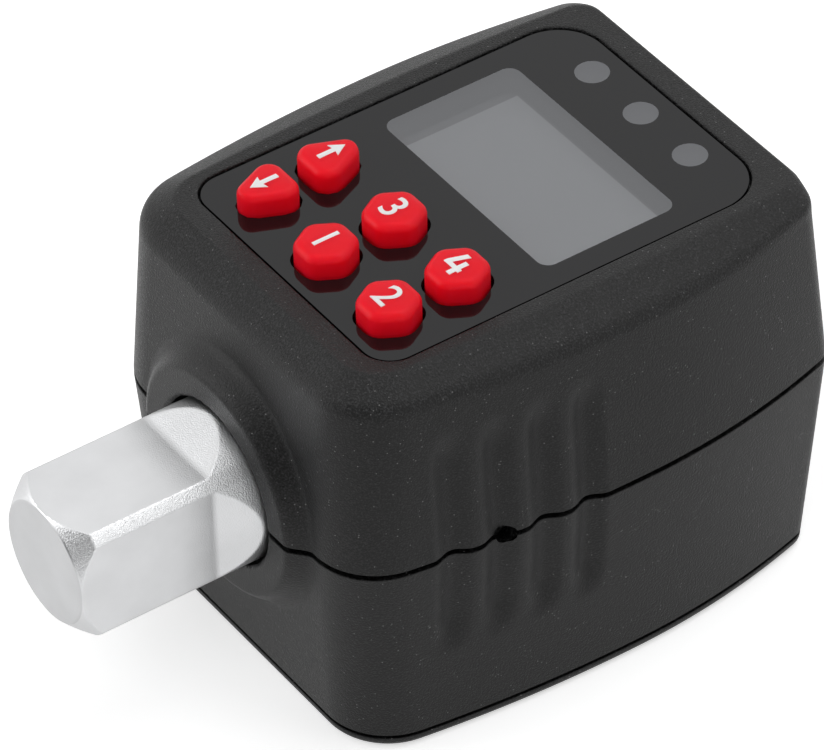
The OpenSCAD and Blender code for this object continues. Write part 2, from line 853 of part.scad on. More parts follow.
module lower_housing() {
  color([0.17, 0.17, 0.18])
    difference() {
      union() {
        loft(lower_rings);
        mirror([0, 0, 1])
          above()
            front_collar();
      }
      difference() {
        loft([wall_ring(seam_z - cut, wall), wall_ring(cut, wall)]);
        front_collar();
        rod_y(rear_collar_d, rear_collar_y, body_l);
        screw_places()
          post(0, 0, floor_z, cut, boss_screw_d);
        difference() {
          union() {
            rod_y(trough_d + 2 * trough_t, 0, body_l);
            box(-body_w / 2, body_w / 2, 0, body_l, shelf_top - shelf_t, shelf_top);
            box(-bay_w / 2, bay_w / 2, 0, bay_front, floor_z, shelf_top);
            box(-bay_w / 2, bay_w / 2, bay_rear, body_l, floor_z, shelf_top);
            cover_screw_places()
              post(0, 0, floor_z, -trough_d / 2, boss_screw_d);
          }
          rod_y(trough_d, 0, body_l);
          post(-wire_hole_x, wire_hole_y, shelf_top - shelf_t - cut, shelf_top + cut, wire_hole_d);
        }
      }
      shaft_bores();
      screw_places()
        post(0, 0, floor_z - cut, head_seat, head_d + 2 * seat_gap);
      screw_places()
        post(0, 0, floor_z - cut, cut, screw_d + 2 * seat_gap);
      cover_screw_places()
        post(0, 0, floor_z - cut, floor_z + insert_l + seat_gap, insert_d);
      locating_pin(pin_front_y, flange_d, pin_d, cut, 0);
      locating_pin(pin_rear_y, shoulder_d, pin_d, cut, 0);
      gasket_ring(gasket_in - seat_gap, gasket_w + 2 * seat_gap, seam_z - cut, seam_z + gasket_t + seat_gap);
      mirrored_x()
        mirror([0, 0, 1])
          finger_grooves(groove_down);
      sound_hole();
    }
}

module gasket_ring(inset, w, z0, z1) {
  translate([0, 0, z0])
    linear_extrude(z1 - z0)
      difference() {
        polygon(wall_outline(seam_z, inset));
        polygon(wall_outline(seam_z, inset + w));
      }
}

module cover_gasket() {
  color([0.08, 0.08, 0.08])
    gasket_ring(gasket_in, gasket_w, seam_z, seam_z + gasket_t);
}

// Bottom cover with a rounded lower edge and two lips that centre it between the walls
cover_edge_shares = [[0.8, 0], [0.36, 0.16], [0.1, 0.4], [0, 0.7]];
lip_t = 1;
lip_h = 1.2;
lip_y = 20;
lip_l = 20;
lip_in = 0.8;
lip_x = half_w(seam_z) - wall - lip_in - lip_t;
cover_head_t = 1;
cover_head_sink = 0.1;
module battery_cover() {
  color([0.15, 0.15, 0.16])
    difference() {
      union() {
        loft(concat(
          [for (s = cover_edge_shares) wall_ring(-bottom_h + s.y * cover_t, s.x * cover_t)],
          [wall_ring(seam_z, seam_inset)]));
        mirrored_x()
          box(lip_x, lip_x + lip_t, lip_y, lip_y + lip_l, seam_z - seam_rise, seam_z + lip_h);
      }
      cover_screw_places() {
        post(0, 0, -bottom_h - cut, -bottom_h + cover_head_sink + cover_head_t, head_d + 2 * seat_gap);
        post(0, 0, -bottom_h - cut, seam_z + cut, screw_d + 2 * seat_gap);
      }
    }
}

module screw(z_head, head_t, z_tip) {
  difference() {
    union() {
      post(0, 0, z_head, z_head + head_t, head_d);
      post(0, 0, z_head, z_tip, screw_d);
    }
    for (turn = [0, 90])
      rotate([0, 0, turn])
        box(-head_d / 3, head_d / 3, -head_d / 14, head_d / 14, z_head - cut, z_head + head_t / 2);
  }
}

module cover_screws() {
  color([0.7, 0.7, 0.72])
    cover_screw_places()
      screw(-bottom_h + cover_head_sink, cover_head_t, floor_z + insert_l);
}

module insert(z0) {
  difference() {
    post(0, 0, z0, z0 + insert_l, insert_d);
    post(0, 0, z0 - cut, z0 + insert_l + cut, screw_d + 2 * run_gap);
  }
}

module cover_inserts() {
  color([0.8, 0.65, 0.3])
    cover_screw_places()
      insert(floor_z);
}

module housing_inserts() {
  color([0.8, 0.65, 0.3])
    screw_places()
      insert(seat_gap);
}

housing_head_t = 1.6;
module housing_screws() {
  color([0.7, 0.7, 0.72])
    screw_places()
      screw(head_seat - housing_head_t, housing_head_t, insert_l);
}

// Cells: the left one points to the rear, the right one to the front
nub_d = 3.8;
nub_l = 1;
plate_t = 0.4;
plate_in = 1.85;
plate_w = cell_d - 2 * plate_in;
cell_gap = 0.05;
spring_room = bay_rear - bay_front - 2 * plate_t - cell_l - 2 * cell_gap;
module cell() {
  color([0.75, 0.6, 0.2]) {
    rod_y(cell_d, 0, cell_l - nub_l);
    rod_y(nub_d, cell_l - nub_l, cell_l);
  }
}

module battery_left() {
  translate([-cell_x, bay_rear - plate_t - cell_gap - cell_l, -cell_z])
    cell();
}

module battery_right() {
  translate([cell_x, bay_front + plate_t + cell_gap + cell_l, -cell_z])
    rotate([0, 0, 180])
      cell();
}

module battery_plates() {
  color([0.8, 0.8, 0.82])
    for (side = [-1, 1])
      translate([side * cell_x, 0, -cell_z]) {
        box(-plate_w / 2, plate_w / 2, bay_front, bay_front + plate_t, -plate_w / 2, plate_w / 2);
        box(-plate_w / 2, plate_w / 2, bay_rear - plate_t, bay_rear, -plate_w / 2, plate_w / 2);
      }
}

contact_coil_d = 6;
contact_wire = 0.6;
contact_turns = 3;
module battery_springs() {
  color([0.8, 0.8, 0.82]) {
    translate([-cell_x, 0, -cell_z])
      along_y(bay_front + plate_t)
        coil(contact_coil_d, contact_wire, 0, spring_room, contact_turns);
    translate([cell_x, 0, -cell_z])
      along_y(bay_rear - plate_t - spring_room)
        coil(contact_coil_d, contact_wire, 0, spring_room, contact_turns);
  }
}

// Front panel
module panel_lens() {
  color([0.6, 0.65, 0.7, 0.35])
    difference() {
      translate([0, 0, lens_z])
        linear_extrude(lens_t)
          panel_plan();
      key_holes(key_gap, lens_z - cut, panel_z + cut);
    }
}

module panel_mask() {
  color([0.04, 0.04, 0.05])
    difference() {
      translate([0, 0, mask_z])
        linear_extrude(mask_t)
          difference() {
            panel_plan();
            window_plan();
            lamp_plan();
          }
      key_holes(key_gap, mask_z - cut, lens_z + cut);
    }
}

film_margin = 0.8;
film_back = lamp_y + lamp_d / 2 + film_margin;
module tint_film() {
  color([0.5, 0.5, 0.52, 0.5])
    box(-window_w / 2 - film_margin, window_w / 2 + film_margin,
        window_y - film_margin, film_back, tint_z, mask_z);
}

// Display: glass under the deck, backlight, two contact strips and a holder round them
glass_margin_x = 1.2;
glass_margin_y = 1.3;
glass_w = window_w + 2 * glass_margin_x;
glass_front = window_y - glass_margin_y;
glass_back = window_y + window_l + glass_margin_y;
glass_z = deck_under - glass_t;
holder_t = 1.1;
strip_w = 1.2;
strip_in = 0.15;
module display_glass() {
  color([0.55, 0.6, 0.55])
    box(-glass_w / 2, glass_w / 2, glass_front, glass_back, glass_z, deck_under);
}

module display_holder() {
  color([0.1, 0.1, 0.1])
    difference() {
      box(-glass_w / 2 - holder_t, glass_w / 2 + holder_t, glass_front - holder_t, glass_back + holder_t,
          board_top, deck_under);
      box(-glass_w / 2 - seat_gap, glass_w / 2 + seat_gap, glass_front - seat_gap, glass_back + seat_gap,
          board_top - cut, deck_under + cut);
    }
}

module display_backlight() {
  color([0.92, 0.93, 0.9])
    box(-window_w / 2, window_w / 2, glass_front + strip_in + strip_w + seat_gap,
        glass_back - strip_in - strip_w - seat_gap, board_top, glass_z);
}

module display_strips() {
  color([0.85, 0.5, 0.5])
    for (y = [glass_front + strip_in, glass_back - strip_in - strip_w])
      box(-window_w / 2, window_w / 2, y, y + strip_w, board_top, glass_z);
}

// Lamps on the board, each under its own light pipe
lamp_chip = 2;
lamp_chip_t = 0.9;
module status_lamps() {
  color([0.9, 0.9, 0.85])
    for (i = [-1:1])
      translate([i * lamp_pitch, lamp_y, board_top])
        box(-lamp_chip / 2, lamp_chip / 2, -lamp_chip / 2, lamp_chip / 2, 0, lamp_chip_t);
}

module light_pipes() {
  color([0.8, 0.82, 0.85, 0.6])
    for (i = [-1:1])
      translate([i * lamp_pitch, lamp_y, 0])
        post(0, 0, board_top + lamp_chip_t + seat_gap, tint_z, lamp_d);
}

// Board, notched round the rear collar
notch_gap = 0.4;
module main_board() {
  color([0.05, 0.3, 0.15])
    difference() {
      box(-board_w / 2, board_w / 2, board_front, board_back, board_z, board_top);
      rod_y(rear_collar_d + 2 * notch_gap, rear_collar_y - notch_gap, board_back + cut);
      board_places()
        post(0, 0, board_z - cut, board_top + cut, board_screw_d + seat_gap);
    }
}

module board_screws() {
  color([0.7, 0.7, 0.72])
    board_places() {
      post(0, 0, board_z - board_head_t, board_z, board_head_d);
      post(0, 0, board_z - board_head_t, board_top + board_screw_up, board_screw_d);
    }
}

module contact_pads() {
  color([0.85, 0.7, 0.35])
    for (k = keys)
      translate(key_place(k[1], k[2]))
        post(0, 0, board_top, board_top + pad_t, pill_d);
}

chip_w = 9;
chip_t = 1.4;
chip_y = 16;
module controller_chip() {
  color([0.08, 0.08, 0.09])
    box(-chip_w / 2, chip_w / 2, chip_y, chip_y + chip_w, board_z - chip_t, board_z);
}

part_t = 1;
part_l = 2.4;
part_w = 1.4;
part_pitch = 4;
part_rows = 5;
module board_parts() {
  color([0.45, 0.35, 0.22])
    for (side = [-1, 1], i = [0:part_rows - 1])
      translate([side * (chip_w / 2 + part_pitch), chip_y - part_l + i * part_pitch, board_z])
        box(-part_w / 2, part_w / 2, -part_l / 2, part_l / 2, -part_t, 0);
}

plug_h = 3.4;
plug_l = 4;
gauge_plug_w = 7;
gauge_plug_y = 28.5;
battery_plug_w = 5;
battery_plug_x = -14;
battery_plug_y = 30;
module gauge_connector() {
  color([0.93, 0.92, 0.88])
    box(-gauge_plug_w / 2, gauge_plug_w / 2, gauge_plug_y, gauge_plug_y + plug_l, board_z - plug_h, board_z);
}

module battery_connector() {
  color([0.93, 0.92, 0.88])
    box(battery_plug_x - battery_plug_w / 2, battery_plug_x + battery_plug_w / 2, battery_plug_y,
        battery_plug_y + plug_l, board_z - plug_h, board_z);
}

module buzzer() {
  color([0.1, 0.1, 0.1])
    translate([buzzer_x, buzzer_y, buzzer_z])
      rotate([0, 90, 0])
        cylinder(d = buzzer_d, h = buzzer_end - buzzer_x);
}

// Wire routes, from each gauge to its plug and from the bay to its plug
wire_d = 0.7;
gauge_routes = [
  [[-1, 26.2, 7], [-1, 27, 8], [-1, 27.8, 9.6], [-1, 28.05, 10.6]],
  [[7, 26.2, 1], [9, 27, 4], [8, 28, 8.6], [3, 28.2, 10.6]],
  [[-7, 26.2, 1], [-9, 27, 4], [-8, 28, 8.6], [-2.8, 28.2, 10.6]],
  [[1, 26.2, -7], [9, 27, -5], [11, 28, 3], [9, 28.6, 8.4], [4, 29.4, 10.8]]];
battery_routes = [
  [[-16.8, 20, -11.4], [-16.8, 20, -8], [-16.8, 24, 0], [-15, 29, 8], [-14.6, 29.6, 10.6]],
  [[-18.2, 20, -11.4], [-18.2, 20, -8], [-18, 25, 0], [-16, 28.8, 8], [-15.8, 29.4, 10.6]]];
module gauge_wires() {
  color([0.85, 0.2, 0.15])
    for (r = gauge_routes)
      tube(route(r), wire_d, wire_sides, [0, -1, 0]);
}

module battery_wires() {
  color([0.1, 0.1, 0.1])
    for (r = battery_routes)
      tube(route(r), wire_d, wire_sides, [0, -1, 0]);
}

upper_housing();
lower_housing();
housing_screws();
housing_inserts();
front_seal();
rear_seal();
torque_shaft();
locating_pins();
strain_gauges();
gauge_wires();
detent_ball();
detent_spring();
battery_cover();
cover_gasket();
cover_screws();
cover_inserts();
battery_left();
battery_right();
battery_springs();
battery_plates();
battery_wires();
panel_lens();
panel_mask();
tint_film();
display_glass();
display_holder();
display_backlight();
display_strips();
light_pipes();
status_lamps();
keypad_mat();
up_key();
down_key();
peak_key();
mode_key();
unit_key();
clear_key();
up_key_pill();
down_key_pill();
peak_key_pill();
mode_key_pill();
unit_key_pill();
clear_key_pill();
main_board();
board_screws();
contact_pads();
controller_chip();
board_parts();
gauge_connector();
battery_connector();
buzzer();
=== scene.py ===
import json
from math import atan, atan2, copysign, cos, hypot, pi, radians, sin, sqrt, tan
from types import SimpleNamespace

import bmesh
import bpy
from mathutils import Matrix, Vector


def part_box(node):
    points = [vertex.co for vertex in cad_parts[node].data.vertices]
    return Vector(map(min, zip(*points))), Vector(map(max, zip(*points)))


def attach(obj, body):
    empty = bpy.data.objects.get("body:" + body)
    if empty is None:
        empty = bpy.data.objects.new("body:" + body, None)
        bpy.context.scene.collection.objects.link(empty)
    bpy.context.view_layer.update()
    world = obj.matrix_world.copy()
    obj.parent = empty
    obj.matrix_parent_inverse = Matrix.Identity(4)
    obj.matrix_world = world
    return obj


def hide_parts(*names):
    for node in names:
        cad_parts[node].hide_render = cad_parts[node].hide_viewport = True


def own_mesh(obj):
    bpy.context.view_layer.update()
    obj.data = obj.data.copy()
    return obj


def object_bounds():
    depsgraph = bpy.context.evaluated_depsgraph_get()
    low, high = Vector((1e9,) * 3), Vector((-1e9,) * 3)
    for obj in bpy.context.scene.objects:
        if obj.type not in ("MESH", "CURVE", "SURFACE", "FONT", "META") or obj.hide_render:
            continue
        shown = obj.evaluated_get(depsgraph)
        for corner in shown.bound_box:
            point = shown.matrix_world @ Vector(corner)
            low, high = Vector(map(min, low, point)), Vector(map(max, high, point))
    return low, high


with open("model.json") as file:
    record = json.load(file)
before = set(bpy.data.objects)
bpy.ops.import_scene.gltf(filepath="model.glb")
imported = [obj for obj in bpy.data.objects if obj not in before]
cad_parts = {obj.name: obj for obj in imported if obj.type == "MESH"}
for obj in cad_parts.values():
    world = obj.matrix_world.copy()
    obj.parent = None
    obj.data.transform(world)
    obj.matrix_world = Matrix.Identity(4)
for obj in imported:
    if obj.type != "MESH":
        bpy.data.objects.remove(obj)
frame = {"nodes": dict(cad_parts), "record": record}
frameLow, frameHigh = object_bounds()
nodes = frame["nodes"]
mm = 0.001
print("frame loaded:", len(nodes), "nodes")

# Camera at the photograph's place, its target on the drive axis
cameraSettings = {
    "azimuth": 56.13,
    "elevation": 40.88,
    "roll": -1.63,
    "distance": 0.62234,
    "target": (0.0, 0.0204, 0.0),
    "targetAt": (-12.10, 16.14),  # pixels right of and below the optical centre
    "focalPixels": 6522.5,
    "opticalCentre": (418.85, 374.45),
    "imageSize": (824, 750),
    "sensorWidth": 36,
    "clip": (0.05, 20),
}


def addObject(name, data):
    thing = bpy.data.objects.new(name, data)
    bpy.context.scene.collection.objects.link(thing)
    return thing


def makeCamera(s):
    azimuth, elevation, roll = (radians(s[key]) for key in ("azimuth", "elevation", "roll"))
    turns = ((azimuth, "Z"), (pi / 2 - elevation, "X"), (roll, "Z"))
    first, second, third = (Matrix.Rotation(angle, 4, axis) for angle, axis in turns)
    turn = first @ second @ third
    right, down = (pixels * s["distance"] / s["focalPixels"] for pixels in s["targetAt"])
    place = Vector(s["target"]) + turn @ Vector((-right, down, s["distance"]))
    data = bpy.data.cameras.new("viewCamera")
    width, height = s["imageSize"]
    data.sensor_width = s["sensorWidth"]
    data.lens = s["focalPixels"] / width * data.sensor_width
    data.shift_x = (width / 2 - s["opticalCentre"][0]) / width
    data.shift_y = (s["opticalCentre"][1] - height / 2) / width
    data.clip_start, data.clip_end = s["clip"]
    camera = addObject("viewCamera", data)
    camera.matrix_world = Matrix.Translation(place) @ turn
    bpy.context.scene.camera = camera


makeCamera(cameraSettings)
print("camera placed")


# Nodes: an input takes a number, a vector, a material, or the node or socket that feeds it
def feed(socket, value):
    if isinstance(value, bpy.types.Node):
        value = value.outputs[0]
    if isinstance(value, bpy.types.NodeSocket):
        socket.id_data.links.new(value, socket)
    else:
        socket.default_value = value


def fill(node, *inputs, **named):
    for name, value in named.items():
        if hasattr(node, name):
            setattr(node, name, value)
        else:
            feed(node.inputs[name.replace("_", " ")], value)
    for socket, value in zip(node.inputs, inputs):
        feed(socket, value)
    return node


def addNode(tree, kind, *inputs, **named):
    return fill(tree.nodes.new(kind), *inputs, **named)


# These find their tree by the values that they take
def treeOf(values):
    return next(value.id_data for value in values if hasattr(value, "id_data"))


def calc(operation, *values):
    return addNode(treeOf(values), "ShaderNodeMath", *values, operation=operation).outputs[0]


def calcVector(operation, *values, **named):
    node = addNode(treeOf(values), "ShaderNodeVectorMath", *values, operation=operation, **named)
    return node.outputs["Value" if operation in ("LENGTH", "DISTANCE") else "Vector"]


def ranged(value, low, high, start=0.0, end=1.0):
    return addNode(value.id_data, "ShaderNodeMapRange", value, low, high, start, end).outputs[0]


def split(vector):
    return addNode(vector.id_data, "ShaderNodeSeparateXYZ", vector).outputs


def blend(share, first, second):
    node = addNode(share.id_data, "ShaderNodeMix", data_type="RGBA")
    for index, value in ((0, share), (6, first), (7, second)):
        feed(node.inputs[index], value)
    return node.outputs[2]


def mixShaders(share, first, second):
    return addNode(share.id_data, "ShaderNodeMixShader", share, first, second)


def setSurface(shader):
    fill(shader.id_data.nodes["Material Output"], Surface=shader)


def newMaterial(name):
    material = bpy.data.materials.new(name)
    material.use_nodes = True
    return material, material.node_tree, material.node_tree.nodes["Principled BSDF"]


def opaque(color):
    return (*color, 1)


# Floor, world and soft lamps
studio = {
    "floorColor": (0.93, 0.93, 0.93),
    "floorReach": 2.5,
    "floorGap": 2e-5,
    "floorLift": 0.5,  # added for camera rays only, so that the open floor reads as white paper
    "worldLevel": 0.34,
    "glossLift": 0.27,  # the same for glossy rays, so that metal shows pale paper
    # name, place, size, power, whether polished faces show it
    "lamps": [
        ("topSoftbox", (0.05, 0.30, 0.78), 0.5, 1.95, True),
        ("leftSoftbox", (-0.62, -0.72, 0.42), 0.55, 2.5, True),
        ("frontSoftbox", (0.35, -0.70, 0.70), 0.6, 2.2, False),
        ("rightSoftbox", (0.68, 0.44, 0.65), 0.45, 0.8, True),
    ],
    # dark card that shades the metal's highlights
    "flagPlace": (0.30, -0.88, 0.27),
    "flagReach": 0.375,
    "flagColor": (0.03, 0.03, 0.03),
    "aimAt": (0.0, 0.018, 0.0),
    "cardRoughness": 0.9,
    "cardSpecular": 0.1,
}


def makeCard(name, reach, finish, color, s):
    mesh = bpy.data.meshes.new(name)
    corners = [(x * reach, y * reach, 0) for x, y in ((-1, -1), (1, -1), (1, 1), (-1, 1))]
    mesh.from_pydata(corners, [], [(0, 1, 2, 3)])
    card = addObject(name, mesh)
    material, tree, shader = newMaterial(finish)
    fill(shader, Base_Color=opaque(color), Roughness=s["cardRoughness"], Specular_IOR_Level=s["cardSpecular"])
    mesh.materials.append(material)
    return card, tree, shader


def aimed(thing, place, target, axis):
    thing.location = place
    thing.rotation_euler = (Vector(target) - Vector(place)).to_track_quat(axis, "Y").to_euler()


def makeWorld(s):
    world = bpy.data.worlds.new("studioWorld")
    bpy.context.scene.world = world
    world.use_nodes = True
    tree = world.node_tree
    tree.nodes.clear()
    rays = addNode(tree, "ShaderNodeLightPath").outputs
    shown = calc("MAXIMUM", rays["Is Camera Ray"], rays["Is Glossy Ray"])
    shown = calc("MAXIMUM", shown, rays["Is Transmission Ray"])
    level = ranged(shown, 0, 1, s["worldLevel"])
    background = addNode(tree, "ShaderNodeBackground", opaque((1, 1, 1)), level)
    addNode(tree, "ShaderNodeOutputWorld", background)


def makeFloor(s):
    floor, tree, shader = makeCard("studioFloor", s["floorReach"], "paleFloor", s["floorColor"], s)
    floor.location.z = frameLow.z - s["floorGap"]
    rays = addNode(tree, "ShaderNodeLightPath").outputs
    lift = calc("MULTIPLY", rays["Is Camera Ray"], s["floorLift"])
    lift = calc("MULTIPLY_ADD", rays["Is Glossy Ray"], s["glossLift"], lift)
    fill(shader, Emission_Color=opaque((1, 1, 1)), Emission_Strength=lift)
    # clear from below, for views of the underside
    side = addNode(tree, "ShaderNodeNewGeometry").outputs["Backfacing"]
    setSurface(mixShaders(side, shader, addNode(tree, "ShaderNodeBsdfTransparent")))


def makeStage(s):
    bpy.context.scene.view_settings.view_transform = "Standard"
    makeWorld(s)
    for name, place, size, power, mirrored in s["lamps"]:
        data = bpy.data.lights.new(name, "AREA")
        data.shape, data.size, data.energy = "SQUARE", size, power
        lamp = addObject(name, data)
        lamp.visible_glossy = mirrored
        aimed(lamp, place, s["aimAt"], "-Z")
    makeFloor(s)
    flag = makeCard("darkFlag", s["flagReach"], "flagCloth", s["flagColor"], s)[0]
    aimed(flag, s["flagPlace"], s["aimAt"], "Z")
    flag.visible_camera = flag.visible_diffuse = flag.visible_shadow = False


makeStage(studio)
print("stage and lamps made")

# Every finish has a fine grain in its gloss and bump, and a broad unevenness in its tone
grainLook = {"details": (2.0, 3.0), "broadScale": 40, "span": (0.3, 0.7), "leastRoughness": 0.02}


def startFinish(name, color, roughness, metal=0.0, grain=0.0002, depth=1e-5, tone=0.12, uneven=0.08,
                **sockets):
    g = grainLook
    material, tree, shader = newMaterial(name)
    place = addNode(tree, "ShaderNodeTexCoord").outputs["Object"]
    fine, broad = (
        addNode(tree, "ShaderNodeTexNoise", Vector=place, Scale=1 / size, Detail=detail).outputs["Fac"]
        for size, detail in zip((grain, grain * g["broadScale"]), g["details"]))
    ramp = addNode(tree, "ShaderNodeValToRGB", broad)
    for element, at, share in zip(ramp.color_ramp.elements, g["span"], (1 - tone, 1 + tone)):
        element.position = at
        element.color = opaque([min(1, c * share) for c in color])
    smoothest, roughest = max(g["leastRoughness"], roughness - uneven), min(1, roughness + uneven)
    gloss = ranged(fine, *g["span"], smoothest, roughest)
    bump = addNode(tree, "ShaderNodeBump", Distance=depth, Strength=1.0, Height=fine)
    fill(shader, Metallic=metal, Base_Color=ramp, Roughness=gloss, Normal=bump, **sockets)
    color = ramp.outputs["Color"]
    return material, SimpleNamespace(tree=tree, shader=shader, place=place, fine=fine, color=color, bump=bump)


def makeFinish(*given, **named):
    return startFinish(*given, **named)[0]


# Moulded housing plastic: spark-eroded bump grain, coarser on the bevel. The pale grains and sparse pale
# specks in its colour are painted glints, and their larger share on the bevel than on the walls is a painted
# sheen
housingFinish = {
    # the pale grain colour and the speck colour are painted glints
    "base": (0.0008, 0.0008, 0.0008), "pale": (0.045, 0.045, 0.0465), "glintSpeck": (0.15, 0.15, 0.15),
    "grain": 0.00018, "depth": 0.00014, "roughness": 0.38, "uneven": 0.12, "specular": 0.27,
    "grainFrom": 0.5, "grainTo": 0.75, "wallGlintAndBump": 0.55, "wallTop": 0.0175, "bevelFoot": 0.0192,
    "speckSize": 0.0004, "speckShare": 0.16, "specksAbove": 0.86,
}


def makeHousingPlastic(s):
    material, f = startFinish(
        "housingPlastic", s["base"], s["roughness"], grain=s["grain"], depth=s["depth"], uneven=s["uneven"],
        Specular_IOR_Level=s["specular"])
    # painted sheen: the share of painted glint grows from the walls to the bevel, and the bump grain grows
    # with it
    share = ranged(split(f.place)["Z"], s["wallTop"], s["bevelFoot"], s["wallGlintAndBump"])
    grains = ranged(f.fine, s["grainFrom"], s["grainTo"])
    ground = blend(calc("MULTIPLY", grains, share), opaque(s["base"]), opaque(s["pale"]))
    # sparse specks of painted glint
    cells = addNode(f.tree, "ShaderNodeTexVoronoi", Vector=f.place, Scale=1 / s["speckSize"]).outputs
    dot = calc("LESS_THAN", cells["Distance"], s["speckShare"])
    few = calc("GREATER_THAN", addNode(f.tree, "ShaderNodeSeparateColor", cells["Color"]), s["specksAbove"])
    glintSpecked = blend(calc("MULTIPLY", dot, few), ground, opaque(s["glintSpeck"]))
    fill(f.bump, Strength=share)
    fill(f.shader, Base_Color=glintSpecked)
    return material


# Satin chrome: smooth on the milled flats, grit-blasted on the corners, the nose and the run-outs
chromeFinish = {
    "color": (0.70, 0.705, 0.715), "tone": 0.045, "uneven": 0.04, "grit": 0.00013, "gritDepth": 7e-5,
    "flatRoughness": 0.30, "blastRoughness": 0.34,
    "flatHalf": 0.00635, "barRadius": 0.00832, "noseFoot": -0.0186, "endFace": -0.02045,
    "fadeFrom": -0.0095, "flatStart": -0.0056,
    # how strong the grit is on the nose, the run-outs and the flats, and how dark each place is; the end
    # face's darkness is partly its own turned finish and partly painted shade
    "noseShare": 0.75, "runout": 0.5, "flatShare": 0.05, "fadeTone": 0.86, "endToneAndShade": 0.82, "runTone": 0.95,
    # where each mask starts and ends, from the edge that it follows
    "cornerMask": (-5e-5, -0.00015), "neckMask": (-0.0001, -4e-5), "slopeMask": (3e-5, 0.0001),
    "endMask": 5e-5, "noseMask": 0.0002,
}


def makeSatinChrome(s):
    material, f = startFinish(
        "satinChrome", s["color"], s["flatRoughness"], 1.0, s["grit"], s["gritDepth"], s["tone"], s["uneven"])
    sides = split(calcVector("ABSOLUTE", f.place))
    along = split(f.place)["Y"]
    reach = calc("MAXIMUM", sides["X"], sides["Z"])
    radius = calcVector("LENGTH", calcVector("MULTIPLY", f.place, (1, 0, 1)))

    def mask(value, edge, ends, start=0.0, end=1.0):
        return ranged(value, edge + ends[0], edge + ends[1], start, end)

    half, endFace, noseFoot = s["flatHalf"], s["endFace"], s["noseFoot"]
    corner = calc("MULTIPLY", mask(reach, half, s["cornerMask"]), mask(along, endFace, (0, s["endMask"])))
    corner = calc("MULTIPLY", corner, mask(along, noseFoot, (-s["noseMask"], 0), s["noseShare"]))
    neck = mask(radius, s["barRadius"], s["neckMask"])
    slope = mask(reach, half, s["slopeMask"], 0.0, s["runout"])
    fade = ranged(along, s["fadeFrom"], s["flatStart"], s["flatShare"], s["runout"])
    blast = calc("MAXIMUM", calc("MAXIMUM", corner, neck), calc("MAXIMUM", slope, fade))
    rough = ranged(blast, 0.0, 1.0, s["flatRoughness"], s["blastRoughness"])
    fading = ranged(along, s["fadeFrom"], s["flatStart"], 0.0, 1 - s["fadeTone"])
    onFlat = mask(reach, half, s["slopeMask"][::-1])
    level = calc("SUBTRACT", 1.0, calc("MULTIPLY", fading, onFlat))
    # darker end face: partly its own turned finish, partly painted shade in place of a dimmer reflection
    level = calc("MULTIPLY", level, mask(along, endFace, (0, -s["endMask"]), 1.0, s["endToneAndShade"]))
    level = calc("MULTIPLY", level, mask(reach, half, s["slopeMask"], 1.0, s["runTone"]))
    fill(f.bump, Strength=blast)
    fill(f.shader, Roughness=rough, Base_Color=calcVector("SCALE", f.color, Scale=level))
    return material


# Display: a lighter active field with a grey border, told apart by place
displayField = {"halfWidth": 0.0123, "front": 0.0284, "back": 0.0424, "field": (0.57, 0.585, 0.60),
                "border": (0.40, 0.405, 0.415), "edge": 0.00012,
                "gloss": (0.22, 0.0, 0.002, 3e-7, 0.02)}  # roughness, metal, grain, depth, tone


def fieldMask(point, s):
    axes = split(point)
    middle = (s["front"] + s["back"]) / 2
    shares = []
    for axis, centre, half in (("X", 0.0, s["halfWidth"]), ("Y", middle, s["back"] - middle)):
        away = calc("ABSOLUTE", calc("SUBTRACT", axes[axis], centre))
        shares.append(ranged(away, half + s["edge"], half))
    return calc("MULTIPLY", *shares)


def makeDisplayFinish(s):
    material, f = startFinish("displayGlass", s["field"], *s["gloss"])
    fill(f.shader, Base_Color=blend(fieldMask(f.place, s), opaque(s["border"]), f.color))
    return material


# Panel sheet: gloss black print with a veiled window and three grey lamp circles. Below its face and for
# shadow rays the clear places are wider, so that no print edge shades what lies under them. The window's veil
# takes the tone of the field or the border that lies under it in the line of sight; it is painted light, lit
# at the sheet's face, over most of the shade that the display gets in its recess
panelPrint = {
    "print": (0.006, 0.006, 0.007), "roughness": 0.03, "ior": 1.4,
    "grains": (0.0, 0.003, 1e-6, 0.1, 0.01),  # metal, grain, depth, tone, unevenness
    "window": (0.0133, 0.00765, 0.0013), "windowMiddle": (0.0, 0.03495), "wider": 0.0015,
    "lamp": 0.00172, "lampPitch": 0.00784, "lampY": 0.0481,
    # the window veil's two tones and its cover: painted light in the display's field and border tones
    "face": 0.0205, "depth": 0.0031, "displayVeil": (0.273, 0.281, 0.295), "displayVeilBorder": (0.194, 0.199, 0.209),
    "displayVeilCover": 0.75, "lampGrey": (0.17, 0.174, 0.184), "lampCover": 0.9,
    "maskPrint": ((0.010, 0.010, 0.012), 0.35, 0.0, 0.0002, 1e-6, 0.1),
}


def clearPlaces(place, s, wider):
    def within(size, limit):
        return calc("LESS_THAN", calc("SUBTRACT", size, wider), limit)

    width, length, corner = s["window"]
    flat = calcVector("MULTIPLY", place, (1, 1, 0))
    folded = calcVector("ABSOLUTE", calcVector("SUBTRACT", flat, (*s["windowMiddle"], 0)))
    beyond = calcVector("SUBTRACT", folded, (width - corner, length - corner, 0))
    outside = calcVector("MAXIMUM", beyond, (0, 0, 0))
    window = within(calcVector("LENGTH", outside), corner)
    left, middle, right = (
        within(calcVector("DISTANCE", flat, (i * s["lampPitch"], s["lampY"], 0)), s["lamp"])
        for i in (-1, 0, 1))
    return window, calc("MAXIMUM", calc("MAXIMUM", left, middle), right)


